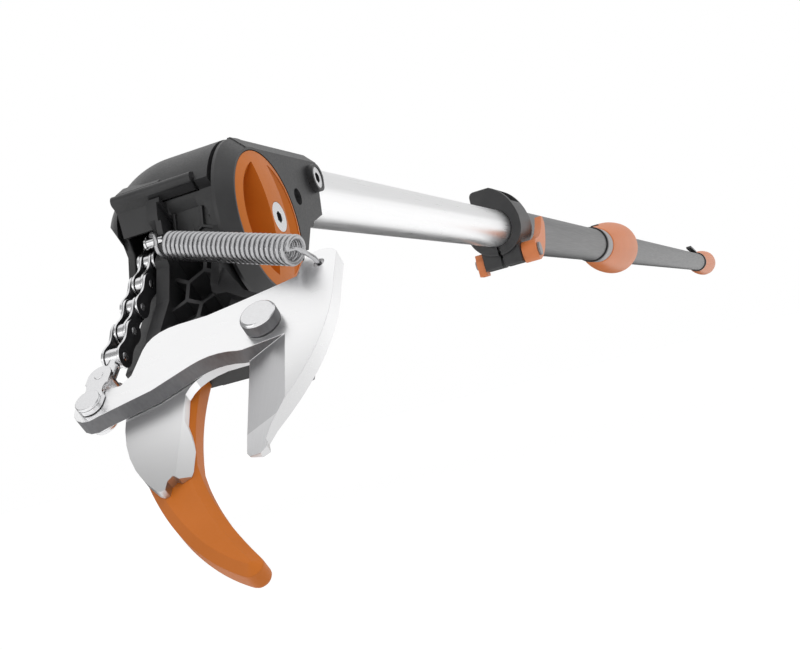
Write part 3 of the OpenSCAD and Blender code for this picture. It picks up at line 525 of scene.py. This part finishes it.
def geometry_tree(name, sizes):
    """Geometry tree with named size inputs and a finish."""
    tree = bpy.data.node_groups.new(name, "GeometryNodeTree")
    tree.interface.new_socket("Geometry", in_out="INPUT", socket_type="NodeSocketGeometry")
    for label, kind in sizes.items():
        tree.interface.new_socket(label, in_out="INPUT", socket_type="NodeSocket" + kind)
    tree.interface.new_socket("Finish", in_out="INPUT", socket_type="NodeSocketMaterial")
    tree.interface.new_socket("Geometry", in_out="OUTPUT", socket_type="NodeSocketGeometry")
    return tree, tree.nodes.new("NodeGroupInput"), tree.nodes.new("NodeGroupOutput")


def end_tree(tree, shape, given, result):
    """Realizes the instances and gives the result its finish."""
    real = tree.nodes.new("GeometryNodeRealizeInstances")
    paint = tree.nodes.new("GeometryNodeSetMaterial")
    tree.links.new(shape, real.inputs[0])
    tree.links.new(real.outputs[0], paint.inputs["Geometry"])
    tree.links.new(given.outputs["Finish"], paint.inputs["Material"])
    tree.links.new(paint.outputs[0], result.inputs[0])


def made_by(piece, tree, **sizes):
    """Runs a tree on a piece and keeps the result as its plain mesh."""
    modifier = piece.modifiers.new(tree.name, "NODES")
    modifier.node_group = tree
    for item in tree.interface.items_tree:
        if item.in_out == "INPUT" and item.name.replace(" ", "_") in sizes:
            modifier[item.identifier] = sizes[item.name.replace(" ", "_")]
    if piece.name not in scene.collection.objects:
        scene.collection.objects.link(piece)
    settle(piece)


screw_tree, given, result = geometry_tree("socket_screws", {
    "Head radius": "Float", "Head height": "Float", "Key radius": "Float",
    "Shank radius": "Float", "Shank length": "Float", "Axis": "Vector"})


def screw_part(sides, part, length, below=None):
    """Cylinder of the screw tree that hangs below nought or below another length."""
    nodes, links = screw_tree.nodes, screw_tree.links
    rod = nodes.new("GeometryNodeMeshCylinder")
    rod.inputs["Vertices"].default_value = sides
    links.new(given.outputs[part], rod.inputs["Radius"])
    links.new(given.outputs[length], rod.inputs["Depth"])
    half = nodes.new("ShaderNodeMath")
    half.operation = "MULTIPLY_ADD"
    half.inputs[1].default_value = 0.5
    half.inputs[2].default_value = 0
    links.new(given.outputs[length], half.inputs[0])
    if below:
        links.new(given.outputs[below], half.inputs[2])
    down = nodes.new("ShaderNodeVectorMath")
    down.operation = "SCALE"
    down.inputs[0].default_value = (0, 0, -1)
    links.new(half.outputs[0], down.inputs["Scale"])
    moved = nodes.new("GeometryNodeTransform")
    links.new(rod.outputs["Mesh"], moved.inputs["Geometry"])
    links.new(down.outputs[0], moved.inputs["Translation"])
    return moved.outputs["Geometry"]


socket = screw_tree.nodes.new("GeometryNodeMeshCylinder")
socket.inputs["Vertices"].default_value = 6
sunk = screw_tree.nodes.new("GeometryNodeMeshBoolean")
sunk.operation = "DIFFERENCE"
sunk.solver = "EXACT"
whole = screw_tree.nodes.new("GeometryNodeJoinGeometry")
facing = screw_tree.nodes.new("FunctionNodeAlignRotationToVector")
facing.axis = "Z"
placed = screw_tree.nodes.new("GeometryNodeInstanceOnPoints")
screw_tree.links.new(given.outputs["Key radius"], socket.inputs["Radius"])
screw_tree.links.new(given.outputs["Head height"], socket.inputs["Depth"])
screw_tree.links.new(screw_part(48, "Head radius", "Head height"), sunk.inputs["Mesh 1"])
screw_tree.links.new(socket.outputs["Mesh"], sunk.inputs["Mesh 2"])
screw_tree.links.new(sunk.outputs["Mesh"], whole.inputs["Geometry"])
screw_tree.links.new(screw_part(32, "Shank radius", "Shank length", "Head height"), whole.inputs["Geometry"])
screw_tree.links.new(given.outputs["Axis"], facing.inputs["Vector"])
screw_tree.links.new(given.outputs["Geometry"], placed.inputs["Points"])
screw_tree.links.new(whole.outputs["Geometry"], placed.inputs["Instance"])
screw_tree.links.new(facing.outputs["Rotation"], placed.inputs["Rotation"])
end_tree(screw_tree, placed.outputs["Instances"], given, result)
# Painted shade: a near-black finish for the faces inside the screw sockets.
socket_oxide = new_finish("socket_oxide", (0.03, 0.03, 0.032), metallic=0.4, roughness=0.5)
vary(socket_oxide, grain(socket_oxide, 0.0006), "Roughness", low=0.45, high=0.6)


def two_tone(piece, finish, chosen):
    """Gives the faces that pass a test on their outward direction and middle another finish."""
    piece.data.materials.append(finish)
    for face in piece.data.polygons:
        if chosen(face.normal, face.center):
            face.material_index = len(piece.data.materials) - 1


def in_socket(tops, axis, reach):
    """Test for faces that lie in the socket of a screw."""
    axis = Vector(axis).normalized()
    rim, deepest = 0.0003, 0.004

    def test(out, middle):
        for top in tops:
            off = middle - Vector(top)
            depth = off.dot(axis)
            if depth < -rim and (off - axis * depth).length < reach and off.length < deepest:
                return True
        return False
    return test


def screws(node, name, finish, tops, axis, head, key, shank):
    """Socket screws with the middle of each head's top at a point; head and shank are radius and length."""
    mesh = bpy.data.meshes.new(name)
    mesh.from_pydata(tops, [], [])
    piece = bpy.data.objects.new(name, mesh)
    made_by(piece, screw_tree, Head_radius=head[0], Head_height=head[1], Key_radius=key / math.sqrt(3),
            Shank_radius=shank[0], Shank_length=shank[1], Axis=axis, Finish=finish)
    soften(piece, edge=0.0002)
    # The faces in each socket get painted shade.
    two_tone(piece, socket_oxide, in_socket(tops, axis, key * 0.6))
    stand_for(piece, node)


long_screw_top = swivel + Vector((0.0202, 0.0525, 0.019))
short_screw_top = swivel + Vector((0.0152, 0.032, 0.0105))
screws("neck_screws", "long_neck_screw", bright_plated, [long_screw_top], (1, 0, 0),
       head=(0.0044, 0.0031), key=0.004, shank=(0.003, 0.0281))
screws("neck_screws", "short_neck_screw", bright_plated, [short_screw_top], (1, 0, 0),
       head=(0.0032, 0.002), key=0.003, shank=(0.0015, 0.0005))
dress("swivel_shaft", bright_plated)

# Angle knob: a shallow orange dome with a deep finger dish on each side of its grip bar.
# A countersunk steel screw with a hexagon socket holds it on the neck.
eased("angle_knob", orange_moulding, edge=0.002, steps=4)
screws("knob_screw", "knob_socket_screw", bright_plated, [swivel + Vector((0.0216, 0, 0))], (1, 0, 0),
       head=(0.0055, 0.0028), key=0.004, shank=(0.003, 0.0187))

# Head: the black housing carries the blades and has a honeycomb window over its leaf.
# The smooth rear cover closes the chain's chamber, and three screws hold it from the back.
# A wall and a floor on the left guide the chain, and ribs stiffen the top of the window.
eased("rear_cover", black_moulding, edge=0.0008)
tilt = math.radians(42)


def head_point(x, y, z):
    """Point of the head's own frame, in millimetres, put into the row frame."""
    turned = Vector((x, y * math.cos(tilt) - z * math.sin(tilt), y * math.sin(tilt) + z * math.cos(tilt)))
    return swivel + turned / 1000


def on_leaf(x, reach, rise):
    """Point over the leaf: across it, out from the swivel and off its face."""
    return head_point(x, -reach, rise)


def across_leaf(reach, rise, x):
    """The same point, for an outline that is seen from the side."""
    return head_point(x, -reach, rise)


head_up = head_point(0, 1000, 0) - swivel
head_front = head_point(0, 0, 1000) - swivel
shape = bmesh.new()
chain_wall = [(2, -0.8), (33, -0.8), (33, 5.5), (24, 8.5), (15.8, 12.6), (13.2, 17.7), (8, 23.3), (2, 24)]
chain_floor = [(-29, 2), (-12.5, 2), (-12.5, 67), (-22, 68.5), (-22, 33), (-29, 33)]
lip_fairing = [(0, 24), (8, 24), (8.6, 31.2), (6.6, 32.3), (0, 30.2)]
leaf_block = [(9, 71), (13.6, 71), (13.6, 80.1), (9, 80.1)]
slab(shape, chain_wall, low=-29.5, high=-26.3, rim=0.8, place=across_leaf)
slab(shape, chain_floor, low=-0.8, high=4.6, rim=0.8, place=on_leaf)
slab(shape, lip_fairing, low=-25, high=-8, rim=0.5, place=across_leaf)
slab(shape, leaf_block, low=-0.98, high=6.9, rim=0.3, place=on_leaf)
chain_mouth = piece_of("chain_mouth", shape, black_moulding)
even_shading(chain_mouth)
stand_for(chain_mouth, "head_housing")
housing = eased("head_housing", black_moulding, edge=0.0005)
window_top = [Vector((-7.8, 14)), Vector((-7.8, 10.8)), Vector((2.5, 10.8))]
window_top += round_points((2.5, 14.8), 4, -80, 0, 8)
cut_reach, cut_rise, cut_slope, past_front = 10, 21, 1.15, 45
shape = bmesh.new()
loft(shape, [[on_leaf(x, reach, cut_rise - cut_slope * (reach - cut_reach)) for x, reach in window_top],
             [on_leaf(x, reach, past_front) for x, reach in window_top]])
carve(housing, [piece_of("window_cutter", shape, black_moulding)])
even_shading(housing)


def on_window(x, down, lift):
    """Point on the sloping floor at the top of the window, in millimetres down the slope and out of it."""
    top_reach, top_rise, sine, cosine = 10.8, 20.2, 0.656, 0.755
    return head_point(x, -top_reach - sine * down - cosine * lift, top_rise - cosine * down + sine * lift)


def rib(shape, start, end, width, height):
    """Straight moulded rib between two points of the window's floor."""
    start, end = Vector(start), Vector(end)
    along = (end - start).normalized()
    side = Vector((-along.y, along.x)) * width / 2
    slab(shape, [start - side, end - side, end + side, start + side],
         low=-0.2, high=height, rim=0.25, place=on_window)


shape = bmesh.new()
slope_outline = [(-8.4, -0.4), (7.4, -0.4), (7.4, 8.6), (-8.4, 8.6)]
rib_lines = (((-6.7, -0.3), (-7.8, 6)), ((3.9, -0.3), (2.7, 6.6)),
             ((2.9, 6.2), (-1.4, 8.5)), ((2.4, 6.4), (7.2, 8.4)))
slab(shape, slope_outline, low=-0.6, high=0.5, rim=0.1, place=on_window)
for start, end in rib_lines:
    rib(shape, start, end, width=1.1, height=1.7)
window_floor = piece_of("window_floor", shape, black_moulding)
even_shading(window_floor)
stand_for(window_floor, "head_housing")
cover_holes = [head_point(x, 12, z) for x, z in ((-25, -20), (-6, -25), (6, -25))]
screws("cover_screws", "cover_socket_screws", dark_plated, cover_holes, head_up,
       head=(0.002, 0.002), key=0.002, shank=(0.002, 0.022))


# Counter blade and branch hook: a fixed plate of ground steel, with the orange moulded hook behind it.
# Two socket screws hold the hook to the leaf of the housing.
def paint_shade_gradient(finish, start, end, tones):
    """Paints shade into the colour: runs it between two tones from point to point, where reflected light
    falls off over the steel.
    """
    nodes, links = finish.node_tree.nodes, finish.node_tree.links
    place = nodes.new("ShaderNodeTexCoord")
    along = nodes.new("ShaderNodeVectorMath")
    along.operation = "DOT_PRODUCT"
    run = Vector(end) - Vector(start)
    along.inputs[1].default_value = run / run.length_squared
    span = nodes.new("ShaderNodeMapRange")
    span.inputs["From Min"].default_value = Vector(start).dot(run) / run.length_squared
    span.inputs["From Max"].default_value = Vector(end).dot(run) / run.length_squared
    ramp = nodes.new("ShaderNodeValToRGB")
    ramp.color_ramp.interpolation = "EASE"
    blue_cast = 1.005
    for stop, tone in zip(ramp.color_ramp.elements, tones):
        stop.color = (tone, tone, tone * blue_cast, 1)
    links.new(place.outputs["Object"], along.inputs[0])
    links.new(along.outputs["Value"], span.inputs["Value"])
    links.new(span.outputs["Result"], ramp.inputs["Fac"])
    links.new(ramp.outputs["Color"], nodes["Principled BSDF"].inputs["Base Color"])


ground_plate = new_finish("ground_plate", (0.8, 0.8, 0.805), metallic=1.0, roughness=0.32)
ground = grain(ground_plate, 0.0004, stretch=(30, 1, 1), turn=tilt)
# Painted shade: the counter blade's colour darkens along the leaf, away from the pivot.
paint_shade_gradient(ground_plate, head_point(2, -88, 10), head_point(-8, -128, 10), (0.93, 0.50))
vary(ground_plate, ground, "Roughness", low=0.29, high=0.35)
roughen(ground_plate, ground, depth=0.0000015)
# Ground finish with painted shade: a darker copy of the blade steel for the bevel and the counter blade's
# throat edge.
ground_bevel = new_finish("ground_bevel", (0.62, 0.62, 0.63), metallic=1.0, roughness=0.36)
honed = grain(ground_bevel, 0.0003, stretch=(1, 25, 25))
shade(ground_bevel, honed, (0.60, 0.60, 0.61), (0.64, 0.64, 0.65))
vary(ground_bevel, honed, "Roughness", low=0.33, high=0.39)
# The throat edge, picked by the way it faces, gets the darker ground finish as painted shade.
two_tone(eased("counter_blade", ground_plate, edge=0.0003), ground_bevel,
         lambda out, middle: abs(out.dot(head_front)) < 0.3 and out.dot(head_up) < -0.75)
hook_outline = [Vector((-11, 70.3)), Vector((8, 70.3))] + sweep_between((9.8, 78), (9, 98), (15.2, 118.4), 24)
hook_outline += sweep_between((17.6, 123.5), (26, 140), (41.6, 157.3), 24)
hook_outline += round_points((39.4, 159.6), 3.2, -30, 110, 12)
hook_outline += sweep_between((37.6, 162.3), (16, 151), (-1.2, 120), 32)
hook_outline += [Vector((-6.3, 108.5)), Vector((-11, 98))]
hook_tongue = [(-8, 64.6), (8, 64.6), (8, 72), (-8, 72)]
shape = bmesh.new()
slab(shape, hook_outline, low=-0.82, high=7.18, rim=1.6, place=on_leaf, slope=(2.8, 2.2))
slab(shape, hook_tongue, low=0, high=3.4, rim=0.3, place=on_leaf)
hook = piece_of("rounded_hook", shape, orange_moulding)
even_shading(hook)
stand_for(hook, "branch_hook")
hook_screw_tops = [on_leaf(x, 67.3, -3.5) for x in (-4, 4)]
screws("hook_screws", "hook_socket_screws", dark_plated, hook_screw_tops, -head_front,
       head=(0.0028, 0.00245), key=0.0025, shank=(0.002, 0.00355))

# Pivot bolt: a turned steel bolt with a low round head, on which the cutting blade swings.
# A hexagon nut holds it behind the leaf.
# Painted shade: a dark steel finish for faces that stand in shade, the bolt's flank and the blade's edge
# under the lever.
sheared_steel = new_finish("sheared_steel", (0.17, 0.17, 0.175), metallic=1.0, roughness=0.5)
shade_steel_grain = grain(sheared_steel, 0.0008, stretch=(1, 3, 3))
shade(sheared_steel, shade_steel_grain, (0.15, 0.15, 0.155), (0.19, 0.19, 0.195))
vary(sheared_steel, shade_steel_grain, "Roughness", low=0.45, high=0.55)
# The bolt's flank gets painted shade.
two_tone(eased("pivot_bolt", bright_plated, edge=0.0003), sheared_steel,
         lambda out, middle: abs(out.dot(head_front)) < 0.5)
pivot, nut_corner = (35.5, 78), 7.44
nut_outline = round_points(pivot, nut_corner, 30, 330, 5)
shape = bmesh.new()
slab(shape, nut_outline, low=-7, high=-1.02, rim=0.5, place=on_leaf)
tight_nut = piece_of("tight_pivot_nut", shape, dark_plated)
even_shading(tight_nut)
stand_for(tight_nut, "pivot_nut")

# Cutting blade: one polished steel plate with the lever arm, the ear for the spring and a ground bevel.
# A rivet pin joins the end of its lever to the chain.
polished_blade = new_finish("polished_blade", (0.93, 0.93, 0.935), metallic=1.0, roughness=0.3)
ground = grain(polished_blade, 0.0004, stretch=(30, 1, 1), turn=tilt)
# Painted shade: the cutting blade's colour darkens along the leaf, away from the pivot.
paint_shade_gradient(polished_blade, head_point(44, -84, 16), head_point(58, -112, 16), (0.94, 0.66))
vary(polished_blade, ground, "Roughness", low=0.27, high=0.33)
roughen(polished_blade, ground, depth=0.0000015)
blade = eased("cutting_blade", polished_blade, edge=0.0003, sharp=20)


def on_lower_edge(out, middle):
    """Test for the faces under the lever, up to the bevel, that get painted shade."""
    bevel_x, tip_depth = 0.043, 0.105
    faces_down = abs(out.dot(head_front)) < 0.3 and out.dot(head_up) < -0.5
    return faces_down and middle.x < bevel_x and (middle - swivel).dot(head_up) > -tip_depth


def on_bevel(out, middle):
    """Test for the faces that slope a little off the plate's front."""
    return 0.85 < out.dot(head_front) < 0.997


# Painted light: a lighter copy of the bevel finish for the bevel faces that tilt towards the tip.
honed_tip = new_finish("honed_tip", (0.8, 0.8, 0.81), metallic=1.0, roughness=0.34)
shade(honed_tip, grain(honed_tip, 0.0003, stretch=(1, 25, 25)), (0.78, 0.78, 0.79), (0.82, 0.82, 0.83))
# The edge under the lever gets painted shade.
two_tone(blade, sheared_steel, on_lower_edge)
# The bevel gets the darker ground finish as painted shade.
two_tone(blade, ground_bevel, on_bevel)
# The tip facet of the bevel gets a painted highlight.
two_tone(blade, honed_tip, lambda out, middle: on_bevel(out, middle) and out.dot(head_up) < -0.07)
eased("lever_pin", bright_plated, edge=0.0003)

# Chain: steel side plates on riveted pins with rollers between, pulled up over a drum in the head.
# A twisted link and an end link join it to the rivet pin of the lever.
eased("end_link", bright_plated, edge=0.0004)
dress("twist_link", bright_plated)
chain_lean = math.radians(2.2)
link_pitch, first_pin, pin_sides = 11.5, 23.3, 24
lever_pin_x, lever_pin_reach, lever_pin_rise = -20, 94, 13.25


def chain_point(across, up, rise):
    """Point of the chain in millimetres, measured from the lever's pin."""
    return head_point(lever_pin_x + across * math.cos(chain_lean) + up * math.sin(chain_lean),
                      -lever_pin_reach + up * math.cos(chain_lean) - across * math.sin(chain_lean),
                      lever_pin_rise + rise)


def link_plates(shape, up, low, high):
    """Pair of waisted side plates between two pins, from low to high on each side."""
    half, waist, steps, end_steps = 3.8, 1.1, 16, 12
    outline = []
    for side, end in ((1, 0), (-1, link_pitch)):
        for step in range(steps):
            turn = 2 * math.pi * step / steps
            place = link_pitch - link_pitch * step / steps if side > 0 else link_pitch * step / steps
            outline.append((place, side * (half - waist * (1 - math.cos(turn)) / 2)))
        for step in range(end_steps):
            turn = math.pi * step / end_steps
            outline.append((end - side * half * math.sin(turn), side * half * math.cos(turn)))
    for side in (-1, 1):
        slab(shape, outline, low, high, rim=0.18,
             place=lambda along, rise, across: chain_point(side * across, up + along, rise))


def chain_round(shape, up, profile):
    """Turned pin or roller across the chain, from pairs of place and radius."""
    loft(shape, [[chain_point(across, up + radius * math.sin(turn), radius * math.cos(turn))
                  for turn in full_turn(pin_sides)] for across, radius in profile])


link_tree, given, result = geometry_tree("links_in_line", {"Links": "Int", "Step": "Vector"})
line = link_tree.nodes.new("GeometryNodeMeshLine")
line.mode = "OFFSET"
placed = link_tree.nodes.new("GeometryNodeInstanceOnPoints")
link_tree.links.new(given.outputs["Links"], line.inputs["Count"])
link_tree.links.new(given.outputs["Step"], line.inputs["Offset"])
link_tree.links.new(line.outputs["Mesh"], placed.inputs["Points"])
link_tree.links.new(given.outputs["Geometry"], placed.inputs["Instance"])
end_tree(link_tree, placed.outputs["Instances"], given, result)
two_links_up = chain_point(0, 2 * link_pitch, 0) - chain_point(0, 0, 0)
riveted = [(-3.6, 0.5), (-3.55, 0.9), (-3.4, 1.3), (-3.2, 1.5),
           (3.2, 1.5), (3.4, 1.3), (3.55, 0.9), (3.6, 0.5)]
flush = riveted[:5] + [(3.3, 1.3), (3.36, 0.9), (3.4, 0.5)]
rolled = [(-1.25, 2.9), (-1.0, 3.3), (1.0, 3.3), (1.25, 2.9)]
across_chain = (chain_point(1, 0, 0) - chain_point(0, 0, 0)).normalized()
# Darker steel for the flat faces of the side plates; their rims keep the bright plating.
blued_steel = new_finish("blued_steel", (0.05, 0.05, 0.053), metallic=0.7, roughness=0.36)
plate_face_grain = grain(blued_steel, 0.001)
shade(blued_steel, plate_face_grain, (0.04, 0.04, 0.043), (0.06, 0.06, 0.063))
vary(blued_steel, plate_face_grain, "Roughness", low=0.3, high=0.42)
outer_plates, inner_plates = (2.37, 3.32), (1.3, 2.25)
for node, first, links_here, plates, turned in (("chain_outer_links", 0, 2, outer_plates, riveted),
                                                ("chain_inner_links", 1, 2, inner_plates, rolled),
                                                ("chain_top_link", 4, 1, outer_plates, flush)):
    start = first_pin + first * link_pitch
    for part in ("plates", "pins"):
        shape = bmesh.new()
        if part == "plates":
            link_plates(shape, start, *plates)
        else:
            chain_round(shape, start, turned)
            chain_round(shape, start + link_pitch, turned)
        links_piece = piece_of(node + "_" + part, shape, bright_plated)
        made_by(links_piece, link_tree, Links=links_here, Step=two_links_up, Finish=bright_plated)
        even_shading(links_piece)
        if part == "plates":
            # The flat faces of the plates get the darker steel.
            two_tone(links_piece, blued_steel, lambda out, middle: abs(out.dot(across_chain)) > 0.8)
        stand_for(links_piece, node)
dress("cord_anchor", dark_plated)
dress("chain_drum", dark_plated)

# Return spring: close-wound steel wire that pulls the blade open.
# It hooks over the short pin on the head and through the blade's ear.
pin_reach, pin_rise = 24, 20.5
pin_profile = ((-15.4, 1.2), (-15.2, 1.75), (-14.5, 1.8), (-14.3, 1.5), (-8.2, 1.5))
shape = bmesh.new()
loft(shape, [[head_point(x, -pin_reach + radius * math.cos(turn), pin_rise + radius * math.sin(turn))
              for turn in full_turn(pin_sides)] for x, radius in pin_profile])
short_pin = piece_of("short_spring_pin", shape, bright_plated)
even_shading(short_pin)
stand_for(short_pin, "spring_pin")
wire_radius, coil_radius, coil_pitch, coil_turns, turn_steps = 0.8, 4.2, 2.09, 27, 28
pin_hook_x, pin_hook_radius, lead_gap = -11.55, 2.85, 4
coil_from, ear_at = Vector((-2.8, -30, 21)), Vector((51, -56, 16))
along = (Vector((46.5, -54.5, 21.4)) - coil_from).normalized()
across = Vector((0, 0, 1)).cross(along).normalized()
upward = along.cross(across)


def on_coil(distance, turn):
    """Point on the coil's cylinder."""
    return coil_from + along * distance + coil_radius * (math.cos(turn) * upward + math.sin(turn) * across)


wire = []
for step in range(11):
    turn = math.radians(-150 - 12 * step)
    wire.append(Vector((pin_hook_x, -(pin_reach + pin_hook_radius * math.cos(turn)),
                        pin_rise + pin_hook_radius * math.sin(turn))))
wire.append(wire[-1] + Vector((2, -1.2, 0.4)))
start_turn = math.radians(-45)
for step in range(turn_steps * coil_turns + 1):
    turns = step / turn_steps
    back = max(0, 1 - turns)
    distance = (turns - 1) * coil_pitch - (lead_gap - coil_pitch) * back * back
    wire.append(on_coil(distance, start_turn - 2 * math.pi * turns))
ear_hook = ((-5, 1.6, 6.2), (-3.4, 0.7, 5.6), (-2, 0.2, 4.4), (-0.5, 0, 2.2), (0, 0, -0.5), (0, 0, -6.7))
for offset in ear_hook:
    wire.append(ear_at + Vector(offset))

spring_steel = new_finish("spring_steel", (0.5, 0.5, 0.51), metallic=1.0, roughness=0.28)
drawn = grain(spring_steel, 0.0015)
shade(spring_steel, drawn, (0.47, 0.47, 0.48), (0.53, 0.53, 0.54))
vary(spring_steel, drawn, "Roughness", low=0.25, high=0.31)
wire_tree, given, result = geometry_tree("wound_wire", {"Wire radius": "Float", "Sides": "Int"})
centre = wire_tree.nodes.new("GeometryNodeMeshToCurve")
profile = wire_tree.nodes.new("GeometryNodeCurvePrimitiveCircle")
sweep = wire_tree.nodes.new("GeometryNodeCurveToMesh")
sweep.inputs["Fill Caps"].default_value = True
smooth = wire_tree.nodes.new("GeometryNodeSetShadeSmooth")
wire_tree.links.new(given.outputs["Geometry"], centre.inputs["Mesh"])
wire_tree.links.new(given.outputs["Wire radius"], profile.inputs["Radius"])
wire_tree.links.new(given.outputs["Sides"], profile.inputs["Resolution"])
wire_tree.links.new(centre.outputs["Curve"], sweep.inputs["Curve"])
wire_tree.links.new(profile.outputs["Curve"], sweep.inputs["Profile Curve"])
wire_tree.links.new(sweep.outputs["Mesh"], smooth.inputs["Geometry"])
end_tree(wire_tree, smooth.outputs["Geometry"], given, result)

path = bpy.data.meshes.new("spring_path")
path.from_pydata([head_point(*p) for p in wire], [(i, i + 1) for i in range(len(wire) - 1)], [])
spring = bpy.data.objects.new("spring_wire", path)
made_by(spring, wire_tree, Wire_radius=wire_radius / 1000, Sides=12, Finish=spring_steel)
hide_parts("return_spring")
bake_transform(spring)
